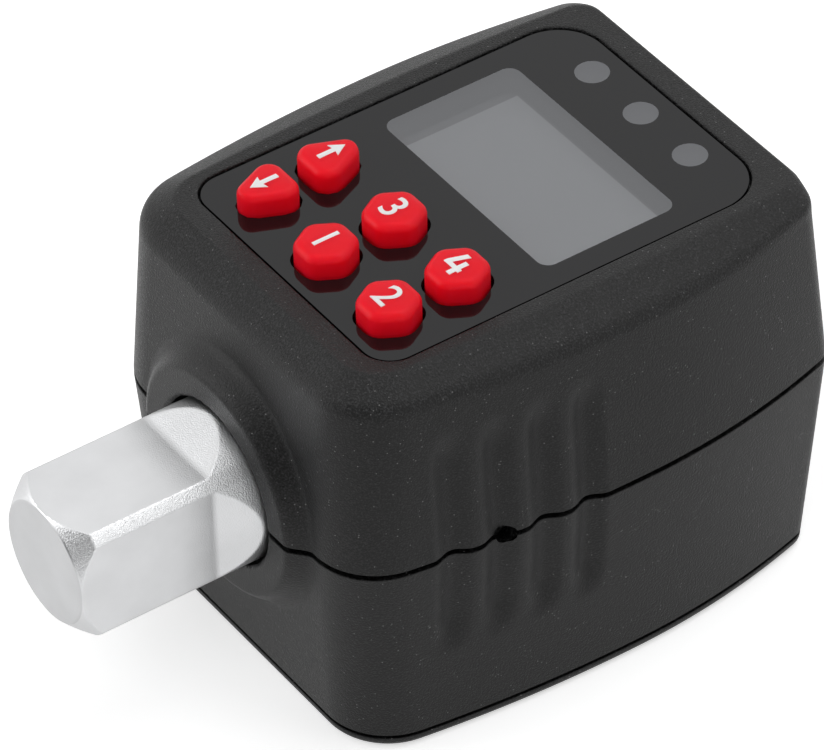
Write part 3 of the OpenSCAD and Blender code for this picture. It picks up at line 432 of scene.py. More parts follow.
def makePanelSheet(s):
    material, f = startFinish("panelSheet", s["print"], s["roughness"], *s["grains"], IOR=s["ior"])
    tree = f.tree
    rays = addNode(tree, "ShaderNodeLightPath").outputs
    spot = addNode(tree, "ShaderNodeNewGeometry").outputs
    onFace = calc("GREATER_THAN", split(f.place)["Z"], s["face"])
    hidden = calc("MAXIMUM", rays["Is Shadow Ray"], calc("SUBTRACT", 1.0, onFace))
    window, lamps = clearPlaces(f.place, s, calc("MULTIPLY", hidden, s["wider"]))
    reach = calc("DIVIDE", s["depth"], split(spot["Incoming"])["Z"])
    under = calcVector("SUBTRACT", f.place, calcVector("SCALE", spot["Incoming"], Scale=reach))
    # painted light: the veil takes the tone of the display under it and is lit at the sheet's face, over most
    # of the shade in the display's recess
    tint = blend(fieldMask(under, displayField), opaque(s["displayVeilBorder"]), opaque(s["displayVeil"]))
    clear = addNode(tree, "ShaderNodeBsdfTransparent")
    seen = calc("MULTIPLY", onFace, calc("SUBTRACT", 1.0, rays["Is Shadow Ray"]))

    def veil(cover, color):
        solid = addNode(tree, "ShaderNodeBsdfDiffuse", color)
        return mixShaders(calc("MULTIPLY", seen, cover), clear, solid)

    places = mixShaders(lamps, veil(s["displayVeilCover"], tint), veil(s["lampCover"], opaque(s["lampGrey"])))
    shine = calc("MULTIPLY", addNode(tree, "ShaderNodeFresnel", IOR=s["ior"]),
                 calc("SUBTRACT", 1.0, spot["Backfacing"]))
    glass = mixShaders(shine, places, addNode(tree, "ShaderNodeBsdfGlossy", Roughness=s["roughness"]))
    setSurface(mixShaders(calc("MAXIMUM", window, lamps), f.shader, glass))
    return material


# The printed black under the sheet leaves the wider window open
def makePrint(s):
    material, f = startFinish("printedBlack", *s["maskPrint"])
    window, lamps = clearPlaces(f.place, s, s["wider"])
    setSurface(mixShaders(window, f.shader, addNode(f.tree, "ShaderNodeBsdfTransparent")))
    return material


# Plain finishes by slot, then those that only the pieces here use:
# name, colour, roughness, metal, grain, grain depth, tone
plainFinishes = {
    "screws": ("zincSteel", (0.60, 0.60, 0.61), 0.32, 1.0, 0.00012, 6e-6, 0.06),
    "inserts": ("turnedBrass", (0.72, 0.50, 0.20), 0.3, 1.0, 0.00015, 6e-6, 0.08),
    "gold_pads": ("goldFlash", (0.83, 0.60, 0.24), 0.25, 1.0, 0.0001, 3e-6, 0.05),
    "seal_rubber": ("sealRubber", (0.016, 0.016, 0.016), 0.55, 0.0, 0.0003, 1e-5, 0.2),
    "gauge_foil": ("gaugeFilm", (0.50, 0.22, 0.045), 0.28, 0.0, 0.0005, 2e-6, 0.1),
    "wire_red": ("redInsulation", (0.55, 0.02, 0.018), 0.4, 0.0, 0.0003, 4e-6, 0.1),
    "wire_black": ("blackInsulation", (0.015, 0.015, 0.016), 0.4, 0.0, 0.0003, 4e-6, 0.1),
    "ball_steel": ("ballSteel", (0.78, 0.78, 0.80), 0.12, 1.0, 0.0004, 1e-6, 0.03, 0.03),
    "spring_steel": ("springWire", (0.62, 0.62, 0.64), 0.24, 1.0, 0.00015, 3e-6, 0.08),
    "cell_jacket": ("cellJacket", (0.07, 0.085, 0.11), 0.25, 0.0, 0.001, 3e-6, 0.12),
    "black_plastic": ("blackMoulding", (0.022, 0.022, 0.023), 0.5, 0.0, 0.0002, 1e-5, 0.2),
    "white_plastic": ("whiteMoulding", (0.78, 0.77, 0.72), 0.45, 0.0, 0.0003, 8e-6, 0.04),
    "contact_rubber": ("stripRubber", (0.52, 0.22, 0.22), 0.6, 0.0, 0.0002, 8e-6, 0.15),
    "pipe_clear": ("lightPipe", (0.26, 0.265, 0.28), 0.2, 0.0, 0.0006, 1e-6, 0.04),
    "carbon_pill": ("carbonRubber", (0.02, 0.02, 0.02), 0.7, 0.0, 0.0002, 1.2e-5, 0.2),
    "board_green": ("solderMask", (0.012, 0.13, 0.04), 0.3, 0.0, 0.0008, 6e-6, 0.25),
    "part_ceramic": ("partCeramic", (0.30, 0.19, 0.09), 0.4, 0.0, 0.0002, 6e-6, 0.15),
    "jacketRed": ("redJacket", (0.50, 0.02, 0.018), 0.4, 0.0, 0.0003, 4e-6, 0.1),
    "jacketWhite": ("whiteJacket", (0.74, 0.74, 0.72), 0.4, 0.0, 0.0003, 4e-6, 0.06),
    "jacketGreen": ("greenJacket", (0.02, 0.28, 0.07), 0.4, 0.0, 0.0003, 4e-6, 0.1),
    "legendInk": ("whiteInk", (0.92, 0.92, 0.92), 0.5, 0.0, 0.0002, 3e-6, 0.03),
    "solderMetal": ("solderCap", (0.70, 0.70, 0.70), 0.35, 1.0, 0.0001, 5e-6, 0.08),
    "foilMetal": ("gridFoil", (0.66, 0.52, 0.38), 0.3, 1.0, 0.0001, 2e-6, 0.05),
}
finishes = {key: makeFinish(*row) for key, row in plainFinishes.items()}
finishes["housing"] = makeHousingPlastic(housingFinish)
finishes["shaft_steel"] = makeSatinChrome(chromeFinish)
finishes["clear_lens"] = makePanelSheet(panelPrint)
finishes["panel_black"] = makePrint(panelPrint)
finishes["display_glass"] = makeDisplayFinish(displayField)
finishes["grey_film"] = makeFinish(
    "greyFilm", (0.235, 0.24, 0.25), 0.35, 0.0, 0.002, 2e-7, 0.02, 0.03, Alpha=0.12)
finishes["key_silicone"] = makeFinish(
    "redSilicone", (0.97, 0.004, 0.018), 0.42, 0.0, 0.00025, 4e-6, 0.05, 0.06,
    Subsurface_Weight=0.85, Subsurface_Scale=0.0016, Specular_IOR_Level=0.17)

slots = {part["node"]: part["material_slot"] for part in frame["record"]["subparts"]}
for name, piece in nodes.items():
    piece.data.materials.clear()
    piece.data.materials.append(finishes[slots[name]])
print("materials made:", len(finishes))


# Shared mesh helpers; lengths in the shape functions are millimetres
def newPiece(name, mesh, body, slot=None, replaced=None, finish=None):
    piece = addObject(name, mesh)
    if not mesh.materials:
        mesh.materials.append(finishes[finish or slot])
    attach(piece, body)
    if replaced:
        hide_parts(replaced)
    return piece


# The mesh that a text or a tree has made; its object goes, with the modifier
def takeMesh(holder):
    mesh = bpy.data.meshes.new_from_object(holder.evaluated_get(bpy.context.evaluated_depsgraph_get()))
    holder.modifiers.clear()
    bpy.data.objects.remove(holder)
    return mesh


# Quads between rings of points, all of one length
def addSheet(bm, rings, closed=True, flip=False):
    rows = [[bm.verts.new(Vector(p) * mm) for p in ring] for ring in rings]
    count = len(rings[0])
    made = []
    for a, b in zip(rows, rows[1:]):
        for i in range(count if closed else count - 1):
            j = (i + 1) % count
            corners = (a[i], a[j], b[j], b[i])
            face = bm.faces.new(corners[::-1] if flip else corners)
            face.smooth = True
            made.append(face)
    return rows, made


# A fan from a ring to its middle
def closePole(bm, row, flip=False):
    middle = bm.verts.new(sum((v.co for v in row), Vector()) / len(row))
    for a, b in zip(row, row[1:] + row[:1]):
        face = bm.faces.new((b, a, middle) if flip else (a, b, middle))
        face.smooth = True


# The CAD node's mesh, merged, without the faces that a finer skin takes over
def frameCopy(node, dropFace):
    bm = bmesh.new()
    bm.from_mesh(nodes[node].data)
    bmesh.ops.remove_doubles(bm, verts=bm.verts, dist=2e-6)
    bm.normal_update()
    gone = [f for f in bm.faces if dropFace(f.calc_center_median() / mm, f.normal)]
    bmesh.ops.delete(bm, geom=gone, context="FACES")
    for face in bm.faces:
        face.smooth = False
    return bm


def finishMesh(bm, name, sharpAngle=32):
    mesh = bpy.data.meshes.new(name)
    bm.to_mesh(mesh)
    bm.free()
    if "custom_normal" in mesh.attributes:
        mesh.attributes.remove(mesh.attributes["custom_normal"])
    smooth = [face.use_smooth for face in mesh.polygons]
    mesh.set_sharp_from_angle(angle=radians(sharpAngle))
    mesh.polygons.foreach_set("use_smooth", smooth)
    return mesh


# Housing form, the same rule as the frame's, with the soft transitions that moulding gives
housing = {
    "width": 47.0, "length": 56.4, "top": 20.9, "bottom": 23.5, "coverThick": 1.5,
    "sideDraft": 3.35, "frontDraft": 3.7, "backDraft": 5.2,
    "frontCorner": 7.0, "backCorner": 2.5, "widestY": 31.9, "sideFront": 155.0, "sideRear": 80.0,
    "bevelHeight": 1.9, "bevelSide": 4.1, "bevelFront": 2.95, "creaseRadius": 2.0,
    "rimCorner": 4.5, "rimFront": 330.0, "rimRear": 240.0, "rimRound": 1.4, "backEdge": 0.5,
    "boreRadius": 8.7, "lip": 0.45, "bossOut": 1.6, "bossFlat": 11.5, "bossFoot": 14.1,
    "grooveY": 10.5, "groovePitch": 4.87, "grooveCount": 4, "grooveDepth": 0.75, "grooveHalf": 2.2,
    "grooveTop": (10.5, 15.2), "grooveBottom": (8.0, 12.6),
    "partingGap": 0.29, "partingDeep": 1.1, "seamGap": 0.2, "seamDeep": 0.8,
    "seamEdge": (0.04, 0.06, 0.07),  # straight part behind the edge, its round inward and along the wall
    "coverEdge": (1.2, 1.05), "leastCorners": (0.6, 0.5),
    "soundHole": (16.2, 1.0), "mouthRadius": 11.7, "sleeveEnds": (-0.4, 0.62),
    "panelHalf": 16.04, "panelFront": 7.1, "panelBack": 51.4, "panelCorners": (3.0, 5.0), "panelGap": 0.25,
    "deck": 19.6, "panelEdge": 0.18,
    "wallStep": 0.3, "bevelStep": 0.14, "creaseSteps": 10, "rimSteps": 6, "topShares": (0.3, 0.7),
    "edgeAngles": (0, 30, 60, 90), "coverSteps": 10, "sleeveSteps": 96,
    "sideFacing": 0.5, "frontFacing": -0.9,  # normals that count as side wall and as front wall
    # points along half the outline: front, corner, side, rear side, back corner, back
    "outlineSteps": (58, 22, 92, 44, 12, 16),
}
seamZ = -(housing["bottom"] - housing["coverThick"])

# Which of the frame's faces a skin takes over, by their depth in the outer wall and their place
skinCut = {
    "deep": 0.8, "coverDeep": 1.4, "bevelDeep": 4.8, "bevelFoot": 16.5, "bevelFacing": -0.5, "facing": 0.25,
    "cornerDeep": 2.6, "cornerSide": 7, "cornerFront": 9, "cornerBack": 6, "nearWall": 3.2,
    "bossFace": 0.45, "bossReach": 15, "overDeck": 0.03,
    "rimDeep": 2.7, "rimSlack": 0.2, "rimHeight": 0.02,
}


def halfWidth(z):
    return housing["width"] / 2 - abs(z) * tan(radians(housing["sideDraft"]))


def frontAt(z):
    return abs(z) * tan(radians(housing["frontDraft"]))


def backAt(z):
    return housing["length"] - abs(z) * tan(radians(housing["backDraft"]))


# Plan points with their outward directions, from the middle of the front, counter-clockwise
def planOutline(w, y0, y1, rf, rb, ra, rr):
    side, rear = w - ra, w - rr
    wide = housing["widestY"]
    frontC = (side + sqrt((ra - rf) ** 2 - (wide - y0 - rf) ** 2), y0 + rf)
    backC = (rear + sqrt((rr - rb) ** 2 - (y1 - rb - wide) ** 2), y1 - rb)
    frontTurn = atan2(frontC[1] - wide, frontC[0] - side)
    backTurn = atan2(backC[1] - wide, backC[0] - rear)
    nFront, nCorner, nSide, nRear, nBackCorner, nBack = housing["outlineSteps"]

    def sweep(c, r, a0, a1, n):
        return [(c[0] + r * cos(a), c[1] + r * sin(a), cos(a), sin(a))
                for a in (a0 + (a1 - a0) * i / n for i in range(1, n + 1))]

    right = [(frontC[0] * i / nFront, y0, 0.0, -1.0) for i in range(nFront + 1)]
    right += sweep(frontC, rf, -pi / 2, frontTurn, nCorner)
    right += sweep((side, wide), ra, frontTurn, 0, nSide)
    right += sweep((rear, wide), rr, 0, backTurn, nRear)
    right += sweep(backC, rb, backTurn, pi / 2, nBackCorner)
    right += [(backC[0] * (1 - i / nBack), y1, 0.0, 1.0) for i in range(1, nBack + 1)]
    return right + [(-x, y, -nx, ny) for x, y, nx, ny in right[-2:0:-1]]


def smoothStep(value, low, high):
    t = min(1.0, max(0.0, (value - low) / (high - low)))
    return t * t * (3 - 2 * t)


def grooveDepth(y, z, nx):
    h = housing
    if abs(nx) < h["sideFacing"]:
        return 0.0
    full, end = h["grooveTop"] if z > 0 else h["grooveBottom"]
    depth = 0.0
    for i in range(h["grooveCount"]):
        away = abs(y - h["grooveY"] - i * h["groovePitch"])
        if away < h["grooveHalf"]:
            depth = max(depth, 0.5 + 0.5 * cos(pi * away / h["grooveHalf"]))
    return h["grooveDepth"] * depth * (1 - smoothStep(abs(z), full, end))


# Front face pushed out to the flat ring round the shaft, with a soft foot and a rounded lip
def bossPlace(x, y, z, ny):
    h = housing
    r = hypot(x, z)
    if ny > h["frontFacing"] or r > h["bossFoot"]:
        return y
    share = 1 - smoothStep(r, h["bossFlat"], h["bossFoot"])
    inLip = max(0.0, 1 - (r - h["boreRadius"]) / h["lip"])
    return y + (-h["bossOut"] - y) * share + h["lip"] * min(1.0, inLip) ** 2


# One level of the skin; share goes from the wall (0) to the rim of the panel (1)
def skinRing(z, inset=0.0, share=0.0, backIn=0.0):
    h = housing
    leastFront, leastBack = h["leastCorners"]

    def between(low, high):
        return h[low] + (h[high] - h[low]) * share

    points = planOutline(
        halfWidth(z) - h["bevelSide"] * share - inset, frontAt(z) + h["bevelFront"] * share + inset,
        backAt(z) - backIn - inset, max(leastFront, between("frontCorner", "rimCorner") - inset),
        max(leastBack, h["backCorner"] - inset), between("sideFront", "rimFront") - inset,
        between("sideRear", "rimRear") - inset)
    ring = []
    for x, y, nx, ny in points:
        d = grooveDepth(y, z, nx)
        front = inset if ny < h["frontFacing"] else 0.0
        ring.append((x - nx * d, bossPlace(x, y - ny * d - front, z, ny) + front, z))
    return ring


# Nearest point on the panel opening's outline
def panelPoint(x, y, grow):
    h = housing
    w, y0, y1 = h["panelHalf"] + grow, h["panelFront"] - grow, h["panelBack"] + grow
    rf, rb = (r + grow for r in h["panelCorners"])
    sign = 1 if x >= 0 else -1
    x = abs(x)
    for low, r, cy in ((True, rf, y0 + rf), (False, rb, y1 - rb)):
        if x > w - r and (y < cy if low else y > cy):
            dx, dy = x - (w - r), y - cy
            size = hypot(dx, dy)
            return sign * (w - r + dx / size * r), cy + dy / size * r
    if y <= y0 or (y < y0 + rf and x <= w - rf):
        return sign * x, y0
    if y >= y1 or (y > y1 - rb and x <= w - rb):
        return sign * x, y1
    return sign * w, y


def spaced(a, b, step):
    count = max(1, round(abs(b - a) / step))
    return [a + (b - a) * i / count for i in range(count + 1)]


# Opens a round hole in a skin: faces inside go, and the edge that is left is drawn to the circle
def cutHole(bm, faces, centre, radius, plane, side):
    a, b = plane
    inside = []
    for face in faces:
        if face.is_valid:
            c = face.calc_center_median() / mm
            if side(c) and hypot(c[a] - centre[0], c[b] - centre[1]) < radius:
                inside.append(face)
    touched = {v for f in inside for v in f.verts}
    bmesh.ops.delete(bm, geom=inside, context="FACES")
    for v in touched:
        if not v.is_valid or not v.link_faces:
            continue
        away = Vector((v.co[a] / mm - centre[0], v.co[b] / mm - centre[1]))
        if away.length > 1e-6:
            away = away.normalized() * radius
            v.co[a], v.co[b] = (centre[0] + away.x) * mm, (centre[1] + away.y) * mm


# How far a point lies inside the housing's outer wall, and the direction out
def outerInset(c):
    x, y, z = c
    h = housing
    bow = h["sideFront"] if y < h["widestY"] else h["sideRear"]
    side = halfWidth(z) - (y - h["widestY"]) ** 2 / (2 * bow) - abs(x)
    ways = [(side, Vector((copysign(1, x), 0, 0))), (y - frontAt(z), Vector((0, -1, 0))),
            (backAt(z) - y, Vector((0, 1, 0)))]
    corner = [w for w in ways if w[0] < skinCut["nearWall"]]
    best = min(ways, key=lambda w: w[0])
    out = sum((w[1] for w in corner), Vector()) if len(corner) > 1 else best[1]
    return best[0], out.normalized()


def isOuterWall(c, n, deep=skinCut["deep"]):
    k = skinCut
    inset, out = outerInset(c)
    nearEnd = c.y < k["cornerFront"] or c.y > housing["length"] - k["cornerBack"]
    if nearEnd and abs(abs(c.x) - halfWidth(c.z)) < k["cornerSide"]:
        deep = k["cornerDeep"]
    return inset < deep and n.dot(out) > k["facing"]


def onBoss(c):
    return c.y < skinCut["bossFace"] and hypot(c.x, c.z) < skinCut["bossReach"]


# Draws the rim left at a seam back from the outer wall, so that the seam's groove stays open
def tuckRim(bm, z, deep):
    k = skinCut
    for v in bm.verts:
        if abs(v.co.z / mm - z) < k["rimHeight"] and v.is_boundary:
            inset, out = outerInset(v.co / mm)
            if inset < k["rimDeep"]:
                v.co -= out * (deep - k["rimSlack"]) * mm


def boreSleeve(bm, upper):
    h = housing
    steps = h["sleeveSteps"]
    turns = [pi * i / steps * (1 if upper else -1) for i in range(steps + 1)]
    rings = [[(h["boreRadius"] * cos(a), y, h["boreRadius"] * sin(a)) for a in turns]
             for y in (-h["bossOut"] + h["lip"], *h["sleeveEnds"])]
    addSheet(bm, rings, closed=False, flip=upper)


# Levels and insets from a seam's groove round its edge to the wall, upward or downward
def seamEdge(z, way, deep):
    straight, inward, along = housing["seamEdge"]
    return [(z - way * straight, deep), (z, inward), (z + way * along, 0.0)]


def upperSkin(bm):
    h = housing
    top, height, side, crease, rim = (
        h[key] for key in ("top", "bevelHeight", "bevelSide", "creaseRadius", "rimRound"))
    slope = atan(height / side)
    turn = pi / 2 - slope
    start = top - height - crease * tan(turn / 2)
    edge = [(0.0, h["partingDeep"]), *seamEdge(h["partingGap"], 1, h["partingDeep"])]
    rings = [skinRing(z, inset) for z, inset in edge]
    rows = [(z, 0.0) for z in spaced(edge[-1][0], start, h["wallStep"])[1:]]
    for i in range(1, h["creaseSteps"] + 1):
        a = turn * i / h["creaseSteps"]
        rows.append((start + crease * sin(a), crease * (1 - cos(a)) / side))
    tangent = rim * tan(slope / 2)
    stop = 1 - tangent * cos(slope) / side
    rows += [(top - height * (1 - s), s) for s in spaced(rows[-1][1], stop, h["bevelStep"])[1:]]
    for i in range(1, h["rimSteps"] + 1):
        a = slope * (1 - i / h["rimSteps"])
        rows.append((top - rim * (1 - cos(a)), 1 + (tangent - rim * sin(a)) / side))
    for z, share in rows:
        over = max(0.0, z - (top - h["backEdge"]))
        backIn = h["backEdge"] - sqrt(max(0.0, h["backEdge"] ** 2 - over ** 2))
        rings.append(skinRing(z, 0.0, share, backIn))
    last = rings[-1]
    inner = [panelPoint(x, y, h["panelGap"]) for x, y, z in last]
    wide = [panelPoint(x, y, h["panelGap"] + h["panelEdge"]) for x, y, z in last]
    for t in h["topShares"]:
        rings.append([(x + (wx - x) * t, y + (wy - y) * t, z) for (x, y, z), (wx, wy) in zip(last, wide)])
    for degrees in h["edgeAngles"]:
        s, c = sin(radians(degrees)), cos(radians(degrees))
        rings.append([(wx + (x - wx) * s, wy + (y - wy) * s, top - h["panelEdge"] * (1 - c))
                      for (wx, wy), (x, y) in zip(wide, inner)])
    rings.append([(x, y, h["deck"]) for x, y in inner])
    return addSheet(bm, rings)[1]


def lowerSkin(bm):
    h = housing
    foot = seamEdge(seamZ + h["seamGap"], 1, h["seamDeep"])
    head = seamEdge(-h["partingGap"], -1, h["partingDeep"])[::-1]
    rows = [(seamZ, h["seamDeep"]), *foot]
    rows += [(z, 0.0) for z in spaced(foot[-1][0], head[0][0], h["wallStep"])[1:]]
    rows += [*head[1:], (0.0, h["partingDeep"])]
    return addSheet(bm, [skinRing(z, inset) for z, inset in rows])[1]


def makeHousingHalf(name, node, skin, taken, seams, upper):
    h = housing
    bm = frameCopy(node, taken)
    for z, deep in seams:
        tuckRim(bm, z, deep)
    faces = skin(bm)
    middle = h["length"] / 2
    soundY, soundRadius = h["soundHole"]
    cutHole(bm, faces, (0, 0), h["boreRadius"], (0, 2), lambda c: c.y < middle)
    cutHole(bm, faces, (soundY, 0), soundRadius, (1, 2), lambda c: c.x > 0)
    cutHole(bm, faces, (0, 0), h["mouthRadius"], (0, 2), lambda c: c.y > middle)
    boreSleeve(bm, upper)
    newPiece(name, finishMesh(bm, name), "adapter", "housing", node)


def upperTaken(c, n):
    k = skinCut
    bevel = c.z > k["bevelFoot"] and n.z > k["bevelFacing"] and isOuterWall(c, n, k["bevelDeep"])
    return bevel or c.z > housing["deck"] + k["overDeck"] or onBoss(c) or isOuterWall(c, n)


def lowerTaken(c, n):
    return onBoss(c) or isOuterWall(c, n)


def makeBatteryCover():
    h = housing
    bm = frameCopy("battery_cover", lambda c, n: isOuterWall(c, n, skinCut["coverDeep"]))
    tuckRim(bm, seamZ, h["seamDeep"])
    inward, upward = h["coverEdge"]
    rows = []
    for i in range(h["coverSteps"] + 1):
        a = pi / 2 * i / h["coverSteps"]
        rows.append((-h["bottom"] + upward * (1 - cos(a)), inward * (1 - sin(a))))
    rows += [*seamEdge(seamZ - h["seamGap"], -1, h["seamDeep"])[::-1], (seamZ, h["seamDeep"])]
    addSheet(bm, [skinRing(z, inset) for z, inset in rows])
    newPiece("batteryCover", finishMesh(bm, "batteryCover"), "battery_cover", "housing", "battery_cover")


partingSeam, coverSeam = (0.0, housing["partingDeep"]), (seamZ, housing["seamDeep"])
makeHousingHalf("upperHousing", "upper_housing", upperSkin, upperTaken, [partingSeam], True)
makeHousingHalf("lowerHousing", "lower_housing", lowerSkin, lowerTaken, [partingSeam, coverSeam], False)
makeBatteryCover()
print("housing made")

# Male square with its turned nose and milled run-outs; every edge slightly broken
drive = {
    "half": 6.35, "barRadius": 8.32, "end": -20.6, "noseLength": 2.0, "noseRadius": 6.2, "flatStart": 5.6,
    "runout": 4.0, "edge": 0.13, "turnSteps": 480, "rowStep": 0.14, "rearY": 6.3,
    "squareEnd": 0.4, "barStep": 1.5, "endShares": (0.2, 0.6, 0.9), "edgeAngles": (0, 22.5, 45, 67.5, 90),
    "ballY": -12.6, "ballHole": 2.53, "ballRim": 0.12, "boreTop": 3, "slack": 0.02, "sharp": 24,
    # how soft the edges are where the nose, the run-out and the flat meet the bar
    "noseSoft": 1.6, "runoutSoft": 1.2, "flatSoft": 0.6,
}


def softMin(a, b, k):
    h = max(k - abs(a - b), 0) / k
    return min(a, b) - h * h * k / 4


def driveRadius(turn, y):
    d = drive
    edge, half, bar = d["edge"], d["half"], d["barRadius"]
    nose = d["noseRadius"] + (bar - d["noseRadius"]) * (y - d["end"]) / d["noseLength"]
    rise = (y + d["flatStart"]) / d["runout"] * (bar - half)
    flat = -softMin(-half, -(half + rise), edge * d["runoutSoft"])
    toFlat = (turn + pi / 4) % (pi / 2) - pi / 4
    turned = softMin(bar, nose, edge * d["noseSoft"])
    return softMin(turned, flat / max(cos(toFlat), 0.5), edge * d["flatSoft"])


def makeDriveShaft():
    d = drive
    end, edge = d["end"], d["edge"]
    turns = [2 * pi * i / d["turnSteps"] for i in range(d["turnSteps"])]

    def taken(c, n):
        nearBall = hypot(c.x, c.y - d["ballY"]) < d["ballHole"] + d["ballRim"]
        ballBore = nearBall and d["slack"] - d["half"] < c.z < d["boreTop"]
        return c.y < d["rearY"] - d["slack"] and not ballBore

    def ring(y, inset=0.0, share=1.0):
        sizes = [(driveRadius(a, y) - inset) * share for a in turns]
        return [(r * cos(a), y, r * sin(a)) for r, a in zip(sizes, turns)]

    bm = frameCopy("torque_shaft", taken)
    rings = [ring(end, share=share) for share in d["endShares"]]
    for degrees in d["edgeAngles"]:
        a = radians(degrees)
        rings.append(ring(end + edge * (1 - cos(a)), edge * (1 - sin(a))))
    rings += [ring(y) for y in spaced(end + edge, d["squareEnd"], d["rowStep"])[1:]]
    rings += [ring(y) for y in spaced(d["squareEnd"], d["rearY"], d["barStep"])[1:]]
    rows, faces = addSheet(bm, rings)
    closePole(bm, rows[0], True)
    cutHole(bm, faces, (0, d["ballY"]), d["ballHole"], (0, 1), lambda c: c.z < 0)
    newPiece("driveShaft", finishMesh(bm, "driveShaft", d["sharp"]), "adapter", "shaft_steel", "torque_shaft")


makeDriveShaft()
print("drive made")

# Keys: soft silicone forms with rounded shoulders, and white legends on their tops
keyForm = {
    "hex": {"shares": [(-1.076, 0), (-0.53, -1), (0.53, -1), (1.076, 0), (0.53, 1), (-0.53, 1)],
            "size": (6.1, 5.8), "corner": 1.6},
    "arrow": {"shares": [(-1.38, 0.98), (0, -1.72), (1.38, 0.98)], "size": (5.2, 5.9), "corner": 1.6},
    "pitchX": 10.2, "pitchY": 7.7, "frontY": 11.9, "arrowIn": 0.1,
    "foot": 15.75, "webTop": 16.62, "levels": (18.5, 20.5), "top": 23.1, "shoulder": 1.0, "crown": 0.1,
    "crownShares": (0.8, 0.6, 0.4, 0.2), "leastCorner": 0.25, "cornerSteps": 14,
    "shoulderSteps": 9, "sharp": 60,
}
# node, form, column, row, legend
keyList = [("up_key", "up", -1, 1, "up"), ("down_key", "down", -1, 0, "down"), ("peak_key", "hex", 0, 1, "3"),
           ("mode_key", "hex", 0, 0, "1"), ("unit_key", "hex", 1, 1, "4"), ("clear_key", "hex", 1, 0, "2")]


def roundedPlan(points, radius, steps):
    plan = []
    count = len(points)
    for i, b in enumerate(points):
        b = Vector(b)
        u = (Vector(points[i - 1]) - b).normalized()
        v = (Vector(points[(i + 1) % count]) - b).normalized()
        half = u.angle(v) / 2
        c = b + (u + v).normalized() * (radius / sin(half))
        start = b + u * (radius / tan(half)) - c
        first = atan2(start.y, start.x)
        for k in range(steps + 1):
            a = first + (pi - 2 * half) * k / steps
            plan.append((c.x + radius * cos(a), c.y + radius * sin(a)))
    return plan


def keyPlan(kind, grow):
    k = keyForm
    form = k["hex" if kind == "hex" else "arrow"]
    width, length = (size / 2 + grow for size in form["size"])
    sign = -1 if kind == "up" else 1
    points = [(sign * x * width, sign * y * length) for x, y in form["shares"]]
    return roundedPlan(points, max(k["leastCorner"], form["corner"] + grow), k["cornerSteps"])


def makeKey(node, kind, centre):
    k = keyForm
    cx, cy = centre
    low = k["top"] - k["crown"]

    def ring(plan, z, share=1.0):
        return [(cx + x * share, cy + y * share, z) for x, y in plan]

    bm = frameCopy(node, lambda c, n: c.z > k["webTop"])
    rings = [ring(keyPlan(kind, 0), z) for z in (k["foot"], *k["levels"], k["top"] - k["shoulder"])]
    for i in range(1, k["shoulderSteps"] + 1):
        a = pi / 2 * i / k["shoulderSteps"]
        z = low - (k["shoulder"] - k["crown"]) * (1 - sin(a))
        rings.append(ring(keyPlan(kind, -k["shoulder"] * (1 - cos(a))), z))
    rim = keyPlan(kind, -k["shoulder"])
    rings += [ring(rim, k["top"] - k["crown"] * share * share, share) for share in k["crownShares"]]
    rows, faces = addSheet(bm, rings)
    closePole(bm, rows[-1])
    newPiece(node.replace("_key", "Key"), finishMesh(bm, node, k["sharp"]), node, "key_silicone", node)


legendForm = {
    "low": 23.0, "high": 23.135, "textSize": 4.14, "textWeight": 0.03, "textSteps": 6,
    "arrow": {"length": 3.1, "head": 1.3, "headWidth": 1.8, "stem": 0.55, "barb": 0.14},
    "four": [(0.3, -1.5), (0.85, -1.5), (0.85, -0.75), (1.1, -0.75), (1.1, -0.25), (0.85, -0.25),
             (0.85, 0.75), (0.3, 0.75), (0.3, -0.25), (-0.45, -0.25), (0.15, 1.5), (-0.45, 1.5),
             (-1.1, -0.35), (-1.1, -0.75), (0.3, -0.75)],
}


# Legends are drawn and filled in millimetres at the origin, then moved and scaled down
def flatLegend(name, outline):
    s = legendForm
    bm = bmesh.new()
    half = (s["high"] - s["low"]) / 2
    bottom, top = ([bm.verts.new((x, y, z)) for x, y in outline] for z in (-half, half))
    bm.faces.new(top)
    bm.faces.new(bottom[::-1])
    for i in range(len(outline)):
        j = (i + 1) % len(outline)
        bm.faces.new((bottom[i], bottom[j], top[j], top[i]))
    bm.normal_update()
    bmesh.ops.triangulate(bm, faces=bm.faces)
    mesh = bpy.data.meshes.new(name)
    bm.to_mesh(mesh)
    bm.free()
    return mesh


def digitLegend(name, text):
    s = legendForm
    curve = bpy.data.curves.new(name, "FONT")
    curve.body = text
    curve.align_x, curve.align_y = "CENTER", "CENTER"
    curve.size = s["textSize"]
    curve.offset = s["textWeight"]
    curve.extrude = (s["high"] - s["low"]) / 2
    curve.resolution_u = s["textSteps"]
    mesh = takeMesh(addObject(name + "Text", curve))
    ends = [Vector([side(v.co[i] for v in mesh.vertices) for i in (0, 1)] + [0]) for side in (min, max)]
    mesh.transform(Matrix.Translation((ends[0] + ends[1]) / -2))
    return mesh


def arrowOutline(a, sign):
    half, tip = a["stem"] / 2, a["length"] / 2
    neck = tip - a["head"]
    right = [(half, -tip), (half, neck), (a["headWidth"] / 2, neck - a["barb"])]
    left = [(-x, y) for x, y in right[::-1]]
    return [(sign * x, sign * y) for x, y in (left[-1], *right, (0, tip), *left[:-1])]


def makeLegend(node, word, centre):
    s = legendForm
    name = node.replace("_key", "Legend")
    if word in ("up", "down"):
        mesh = flatLegend(name, arrowOutline(s["arrow"], 1 if word == "up" else -1))
    elif word == "4":
        mesh = flatLegend(name, s["four"])
    else:
        mesh = digitLegend(name, word)
    place = Vector((*centre, (s["high"] + s["low"]) / 2))
    mesh.transform(Matrix.Scale(mm, 4) @ Matrix.Translation(place))
    newPiece(name, mesh, node, finish="legendInk")


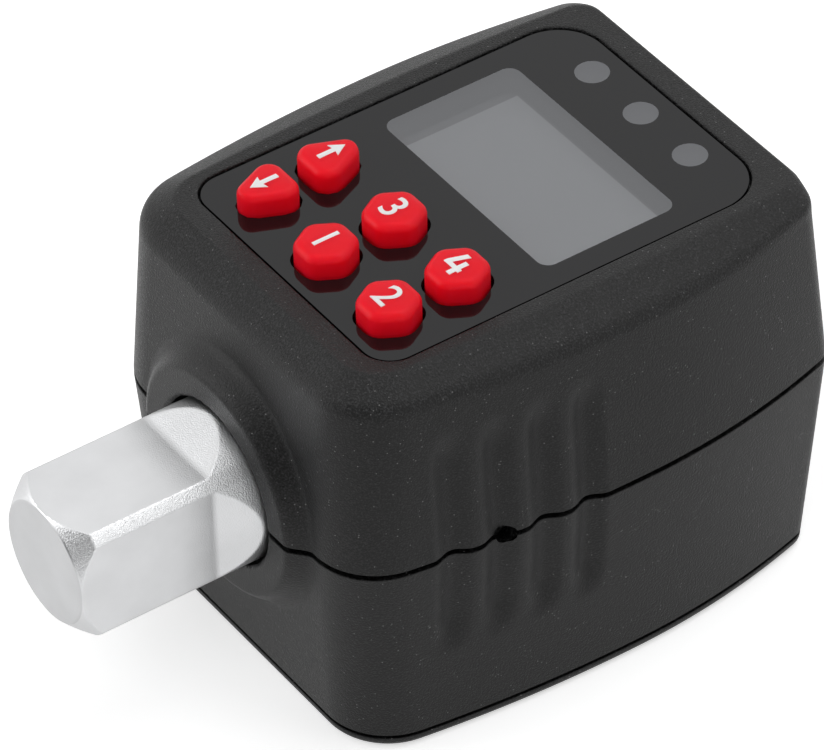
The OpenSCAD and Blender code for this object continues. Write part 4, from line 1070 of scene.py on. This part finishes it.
for node, kind, column, row, word in keyList:
    inward = keyForm["arrowIn"] if column < 0 else 0
    centre = (column * keyForm["pitchX"] - inward, keyForm["frontY"] + row * keyForm["pitchY"])
    makeKey(node, kind, centre)
    makeLegend(node, word, centre)
print("keys and legends made")


# Geometry Nodes for what repeats or follows a path
def newTree(name, **inputs):
    tree = bpy.data.node_groups.new(name, "GeometryNodeTree")
    for way in ("INPUT", "OUTPUT"):
        tree.interface.new_socket("Geometry", in_out=way, socket_type="NodeSocketGeometry")
    for key, kind in {**inputs, "Material": "Material"}.items():
        tree.interface.new_socket(key.replace("_", " "), in_out="INPUT", socket_type="NodeSocket" + kind)
    return tree, addNode(tree, "NodeGroupInput").outputs


# Ends a tree in the group's material, or in a second one where asked
def closeTree(given, geometry, **second):
    tree = geometry.id_data
    whole = addNode(tree, "GeometryNodeRealizeInstances", geometry)
    painted = addNode(tree, "GeometryNodeSetMaterial", whole, Material=given["Material"])
    if second:
        painted = addNode(tree, "GeometryNodeSetMaterial", painted, **second)
    addNode(tree, "NodeGroupOutput", painted)
    return tree


# Runs a tree on a guide of points, or of a path through them (millimetres), and returns the plain mesh
def growMesh(name, tree, values, points=((0, 0, 0),), path=False):
    guide = bpy.data.meshes.new(name)
    edges = [(i, i + 1) for i in range(len(points) - 1)] if path else []
    guide.from_pydata([Vector(p) * mm for p in points], edges, [])
    holder = addObject(name + "Guide", guide)
    modifier = holder.modifiers.new("grow", "NODES")
    modifier.node_group = tree
    for item in tree.interface.items_tree:
        if item.in_out == "INPUT" and item.name in values:
            modifier[item.identifier] = values[item.name]
    holder.update_tag()
    mesh = takeMesh(holder)
    mesh.name = name
    return mesh


def joinMeshes(name, meshes):
    bm = bmesh.new()
    joined = bpy.data.meshes.new(name)
    materials = []
    for mesh in meshes:
        start = len(bm.faces)
        bm.from_mesh(mesh)
        bm.faces.ensure_lookup_table()
        for face in bm.faces[start:]:
            material = mesh.materials[face.material_index]
            if material not in materials:
                materials.append(material)
            face.material_index = materials.index(material)
    bm.to_mesh(joined)
    bm.free()
    for material in materials:
        joined.materials.append(material)
    return joined


def join(parts):
    node = addNode(parts[0].id_data, "GeometryNodeJoinGeometry")
    for part in parts:
        feed(node.inputs[0], part)
    return node


def scatter(points, thing):
    return addNode(thing.id_data, "GeometryNodeInstanceOnPoints", points, Instance=thing)


def scatterRow(given, thing):
    points = addNode(
        thing.id_data, "GeometryNodeMeshLine", Count=given["Count"], Start_Location=given["Start"],
        Offset=given["Pitch"])
    return scatter(points, thing)


def moved(geometry, **named):
    return addNode(geometry.id_data, "GeometryNodeTransform", geometry, **named)


# A piece at its place and at the mirrored place
def mirrored(geometry, place, flip):
    return [moved(geometry, Translation=spot) for spot in (place, calcVector("MULTIPLY", place, flip))]


def fourTurns(geometry, axis):
    turns = [[share * quarter * pi / 2 for share in axis] for quarter in range(4)]
    return join([moved(geometry, Rotation=turn) for turn in turns])


def sweep(route, profile):
    return addNode(route.id_data, "GeometryNodeCurveToMesh", route, Profile_Curve=profile, Fill_Caps=True)


def roundWire(route, radius, sides):
    tree = route.id_data
    profile = addNode(tree, "GeometryNodeCurvePrimitiveCircle", Resolution=sides, Radius=radius)
    return addNode(tree, "GeometryNodeSetShadeSmooth", sweep(route, profile))


springs = {
    "detent": {"radius": 1.3, "wire": 0.4, "turns": 5.0}, "detentY": -12.6, "detentLow": -2.585,
    "detentHigh": 2.4, "travel": 0.9,
    "contact": {"radius": 3.0, "wire": 0.6, "turns": 3.0},
    "stepsPerTurn": 36, "wireSides": 12,
}
bay = {"cellX": 9.408, "cellZ": -16.3, "front": 3.5029, "rear": 51.6029, "plate": 0.4, "gap": 0.05}


def springTree(s):
    tree, given = newTree("coilSpring", Turns="Float", Radius="Float", Wire="Float", Height="Float",
                          Place="Vector", Lean="Vector")
    spiral = addNode(tree, "GeometryNodeCurveSpiral", Resolution=s["stepsPerTurn"], Rotations=given["Turns"],
                     Start_Radius=given["Radius"], End_Radius=given["Radius"], Height=given["Height"])
    coil = roundWire(spiral, given["Wire"], s["wireSides"])
    return closeTree(given, moved(coil, Translation=given["Place"], Rotation=given["Lean"]))


def springMesh(name, tree, coil, height, place, lean):
    return growMesh(name, tree, {"Turns": coil["turns"], "Radius": coil["radius"] * mm,
                                 "Wire": coil["wire"] / 2 * mm, "Height": (height - coil["wire"]) * mm,
                                 "Place": Vector(place) * mm, "Lean": Vector((lean, 0, 0)),
                                 "Material": finishes["spring_steel"]})


def makeSprings(s, b):
    tree = springTree(s)
    height = s["detentHigh"] - s["detentLow"]
    mesh = springMesh("detentSpring", tree, s["detent"], height,
                      (0, s["detentY"], s["detentLow"] + s["detent"]["wire"] / 2), 0)
    spring = newPiece("detentSpring", mesh, "adapter", "spring_steel", "detent_spring")
    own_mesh(spring)
    room = b["rear"] - b["front"] - 2 * b["plate"] - cell["length"] - 2 * b["gap"]
    wire = s["contact"]["wire"]
    ends = [springMesh("contactSpring", tree, s["contact"], room, (x, y + wire / 2, b["cellZ"]), -pi / 2)
            for x, y in ((-b["cellX"], b["front"] + b["plate"]), (b["cellX"], b["rear"] - b["plate"] - room))]
    pair = joinMeshes("contactSprings", ends)
    newPiece("contactSprings", pair, "adapter", "spring_steel", "battery_springs")


# Routes with their insulation; the rest of each set follows its node
wires = {
    "radius": 0.35, "stepsPerPoint": 10, "sides": 14,
    "gauge": [("jacketWhite", [(-1, 26.2, 7), (-1, 27, 8), (-1, 27.8, 9.6), (-1, 28.05, 10.6)]),
              ("jacketGreen", [(7, 26.2, 1), (9, 27, 4), (8, 28, 8.6), (3, 28.2, 10.6)]),
              ("jacketRed", [(-7, 26.2, 1), (-9, 27, 4), (-8, 28, 8.6), (-2.8, 28.2, 10.6)]),
              ("wire_black", [(1, 26.2, -7), (9, 27, -5), (11, 28, 3), (9, 28.6, 8.4), (4, 29.4, 10.8)])],
    "battery": [("jacketRed", [(-16.8, 20, -11.4), (-16.8, 20, -8), (-16.8, 24, 0), (-15, 29, 8),
                               (-14.6, 29.6, 10.6)]),
                ("wire_black", [(-18.2, 20, -11.4), (-18.2, 20, -8), (-18, 25, 0), (-16, 28.8, 8),
                                (-15.8, 29.4, 10.6)])],
}


def wireTree(s):
    tree, given = newTree("wire", Radius="Float")
    route = addNode(tree, "GeometryNodeMeshToCurve", given["Geometry"])
    bent = addNode(tree, "GeometryNodeCurveSplineType", route, spline_type="CATMULL_ROM")
    fine = addNode(tree, "GeometryNodeSetSplineResolution", bent, Resolution=s["stepsPerPoint"])
    return closeTree(given, roundWire(fine, given["Radius"], s["sides"]))


def makeWires(s):
    tree = wireTree(s)
    for group, slot in (("gauge", "wire_red"), ("battery", "wire_black")):
        meshes = [growMesh(group + "Wire", tree, {"Radius": s["radius"] * mm, "Material": finishes[jacket]},
                           route, True) for jacket, route in s[group]]
        name = group + "Wires"
        newPiece(name, joinMeshes(name, meshes), "adapter", slot, group + "_wires")


inserts = {
    "outer": 1.9, "hole": 1.2, "knurls": 15.0, "depth": 0.05, "gridSteps": (121, 65),
    # shares of the section: end of the foot, the outer wall and the top, and the band that is knurled
    "corners": (0.125, 0.625, 0.75), "band": (0.16, 0.59), "twist": 24.0,
    # node, name, columns
    "sets": [("housing_inserts", "housingInserts", 2), ("cover_inserts", "coverInserts", 1)],
}


# A ring section wrapped round an axis, its outer wall cut with crossed knurling
def insertTree(s):
    tree, given = newTree("knurledInsert", Outer="Float", Hole="Float", Length="Float", Knurls="Float",
                          Depth="Float")
    grid = addNode(tree, "GeometryNodeMeshGrid", 1.0, 1.0, *s["gridSteps"])
    axes = split(addNode(tree, "GeometryNodeInputPosition"))
    turn = calc("MULTIPLY", axes["X"], 2 * pi)
    along = calc("ADD", axes["Y"], 0.5)
    foot, wall, top = s["corners"]
    outward = calc("SUBTRACT", ranged(along, 0, foot), ranged(along, wall, top))
    upward = calc("SUBTRACT", ranged(along, foot, wall), ranged(along, top, 1))
    thick = calc("SUBTRACT", given["Outer"], given["Hole"])
    radius = calc("MULTIPLY_ADD", outward, thick, given["Hole"])
    spin = calc("MULTIPLY", turn, given["Knurls"])
    rise = calc("MULTIPLY", upward, s["twist"])
    waves = (calc("SINE", calc(way, spin, rise)) for way in ("ADD", "SUBTRACT"))
    wave = calc("MULTIPLY", *waves)
    low, high = s["band"]
    band = calc("MULTIPLY", calc("GREATER_THAN", along, low), calc("LESS_THAN", along, high))
    depth = calc("MULTIPLY", band, given["Depth"])
    cut = calc("MULTIPLY", calc("SUBTRACT", wave, 1.0), depth)
    reach = calc("ADD", radius, cut)
    wrap = addNode(tree, "ShaderNodeCombineXYZ", calc("MULTIPLY", reach, calc("COSINE", turn)),
                   calc("MULTIPLY", reach, calc("SINE", turn)),
                   calc("MULTIPLY", upward, given["Length"]))
    bent = addNode(tree, "GeometryNodeSetPosition", grid, Position=wrap)
    welded = addNode(tree, "GeometryNodeMergeByDistance", bent, Distance=1e-6)
    return closeTree(given, scatter(given["Geometry"], welded))


def makeInserts(s):
    tree = insertTree(s)
    for node, name, columns in s["sets"]:
        low, high = (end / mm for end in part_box(node))
        outer = s["outer"]
        placesX = (low.x + outer, high.x - outer) if columns == 2 else (0.0,)
        points = [(x, y, low.z) for x in placesX for y in (low.y + outer, high.y - outer)]
        values = {"Outer": outer * mm, "Hole": s["hole"] * mm, "Length": (high.z - low.z) * mm,
                  "Knurls": s["knurls"], "Depth": s["depth"] * mm, "Material": finishes["inserts"]}
        newPiece(name, growMesh(name, tree, values, points), "adapter", "inserts", node)


boardParts = {"size": (1.4, 2.4, 1.0), "cap": 0.45, "overlap": 0.1, "top": 12.4, "rowX": 8.5, "firstY": 13.6,
              "pitch": 4.0, "rows": 5, "thin": 0.08}


# A ceramic block with a plated cap at each end, once at every point
def boardPartTree():
    tree, given = newTree("boardPart", Body="Vector", Cap="Vector", Reach="Vector", Cap_Material="Material")
    body, cap = (addNode(tree, "GeometryNodeMeshCube", given[size]) for size in ("Body", "Cap"))
    caps = join(mirrored(cap, given["Reach"], (1, -1, 1)))
    marked = addNode(tree, "GeometryNodeStoreNamedAttribute", caps, data_type="BOOLEAN", domain="FACE",
                     Name="cap", Value=True)
    spread = scatter(given["Geometry"], join([body, marked]))
    plated = addNode(tree, "GeometryNodeInputNamedAttribute", data_type="BOOLEAN", Name="cap")
    return closeTree(given, spread, Selection=plated, Material=given["Cap Material"])


def makeBoardParts(s):
    wide, long, tall = s["size"]
    body = (wide - s["thin"], long - 2 * (s["cap"] - s["overlap"]), tall - s["thin"])
    values = {"Body": Vector(body) * mm, "Cap": Vector((wide, s["cap"], tall)) * mm,
              "Reach": Vector((0, (long - s["cap"]) / 2, 0)) * mm,
              "Material": finishes["part_ceramic"], "Cap Material": finishes["solderMetal"]}
    points = [(side * s["rowX"], s["firstY"] + i * s["pitch"], s["top"] - tall / 2)
              for side in (-1, 1) for i in range(s["rows"])]
    mesh = growMesh("boardParts", boardPartTree(), values, points)
    newPiece("boardParts", mesh, "adapter", "part_ceramic", "board_parts")


chip = {"half": 4.5, "middle": (0.0, 20.5, 12.4), "legs": 14, "pitch": 0.56, "lead": (0.00022, 0.00012),
        "bend": [(-0.15, 0.7), (0.25, 0.7), (0.45, 0.08), (0.95, 0.08)]}


# Bent flat leads along the four sides of a chip
def legTree(s):
    tree, given = newTree("chipLegs", Count="Int", Start="Vector", Pitch="Vector", Middle="Vector")
    route = addNode(tree, "GeometryNodeMeshToCurve", given["Geometry"])
    leg = sweep(route, addNode(tree, "GeometryNodeCurvePrimitiveQuadrilateral", *s["lead"]))
    sides = fourTurns(scatterRow(given, leg), (0, 0, 1))
    return closeTree(given, moved(sides, Translation=given["Middle"]))


def rowValues(s, y, z):
    start = Vector((-(s["legs"] - 1) * s["pitch"] / 2, y, z)) * mm
    return {"Count": s["legs"], "Start": start, "Pitch": Vector((s["pitch"], 0, 0)) * mm}


def makeChipLegs(s):
    path = [(0, s["half"] + out, -drop) for out, drop in s["bend"]]
    values = {**rowValues(s, 0, 0), "Middle": Vector(s["middle"]) * mm, "Material": finishes["solderMetal"]}
    newPiece("chipLegs", growMesh("chipLegs", legTree(s), values, path, True), "adapter")


foil = {"face": 6.35, "thick": 0.05, "middle": 21.5, "legs": 12, "pitch": 0.32, "line": (0.14, 4.6),
        "tab": (1.3, 1.2), "tabPlace": (0.9, 24.6)}


# Fine grid lines on the four flats of the gauge length, each with two solder tabs
def foilTree():
    tree, given = newTree("gaugeGrid", Count="Int", Start="Vector", Pitch="Vector", Line="Vector",
                          Tab="Vector", Tab_Place="Vector")
    line, tab = (addNode(tree, "GeometryNodeMeshCube", given[size]) for size in ("Line", "Tab"))
    face = join([scatterRow(given, line), *mirrored(tab, given["Tab Place"], (-1, 1, 1))])
    return closeTree(given, fourTurns(face, (0, 1, 0)))


def makeGaugeGrids(s):
    values = {**rowValues(s, s["middle"], s["face"]), "Material": finishes["foilMetal"],
              "Line": Vector((*s["line"], s["thick"])) * mm, "Tab": Vector((*s["tab"], s["thick"])) * mm,
              "Tab Place": Vector((*s["tabPlace"], s["face"])) * mm}
    newPiece("gaugeGrids", growMesh("gaugeGrids", foilTree(), values), "adapter")


# Cells turned from a profile (radius, height): rounded shoulders, a crimped neck and a raised pole
cell = {
    "length": 44.5, "turnSteps": 96, "jacket": (0.6, 42.7), "sharp": 40,
    "profile": [(3.6, 0.0), (3.9, 0.12), (4.4, 0.12), (4.95, 0.2), (5.2, 0.5), (5.25, 0.9), (5.25, 42.3),
                (5.2, 42.6), (4.98, 42.8), (4.95, 43.0), (5.05, 43.2), (4.9, 43.45), (4.4, 43.5), (2.2, 43.5),
                (1.95, 43.6), (1.9, 43.9), (1.88, 44.35), (1.7, 44.5)],
}


def makeCell(name, node, x, start, way):
    s = cell
    bm = bmesh.new()
    turns = [2 * pi * i / s["turnSteps"] for i in range(s["turnSteps"])]
    rings = [[(x + r * cos(a), start + way * y, bay["cellZ"] + r * sin(a)) for a in turns]
             for r, y in s["profile"]]
    rows, faces = addSheet(bm, rings, flip=way < 0)
    closePole(bm, rows[0], way > 0)
    closePole(bm, rows[-1], way < 0)
    mesh = finishMesh(bm, name, s["sharp"])
    for slot in ("cell_jacket", "ball_steel"):
        mesh.materials.append(finishes[slot])
    for face in mesh.polygons:
        away = (face.center.y / mm - start) * way
        face.material_index = 0 if s["jacket"][0] < away < s["jacket"][1] else 1
    newPiece(name, mesh, "adapter", "cell_jacket", node)


def makeCells(b):
    reach = b["plate"] + b["gap"] + cell["length"]
    makeCell("leftCell", "battery_left", -b["cellX"], b["rear"] - reach, 1)
    makeCell("rightCell", "battery_right", b["cellX"], b["front"] + reach, -1)


makeSprings(springs, bay)
makeWires(wires)
makeInserts(inserts)
makeBoardParts(boardParts)
makeChipLegs(chip)
makeGaugeGrids(foil)
makeCells(bay)
print("springs, wires, inserts, board and cells made")
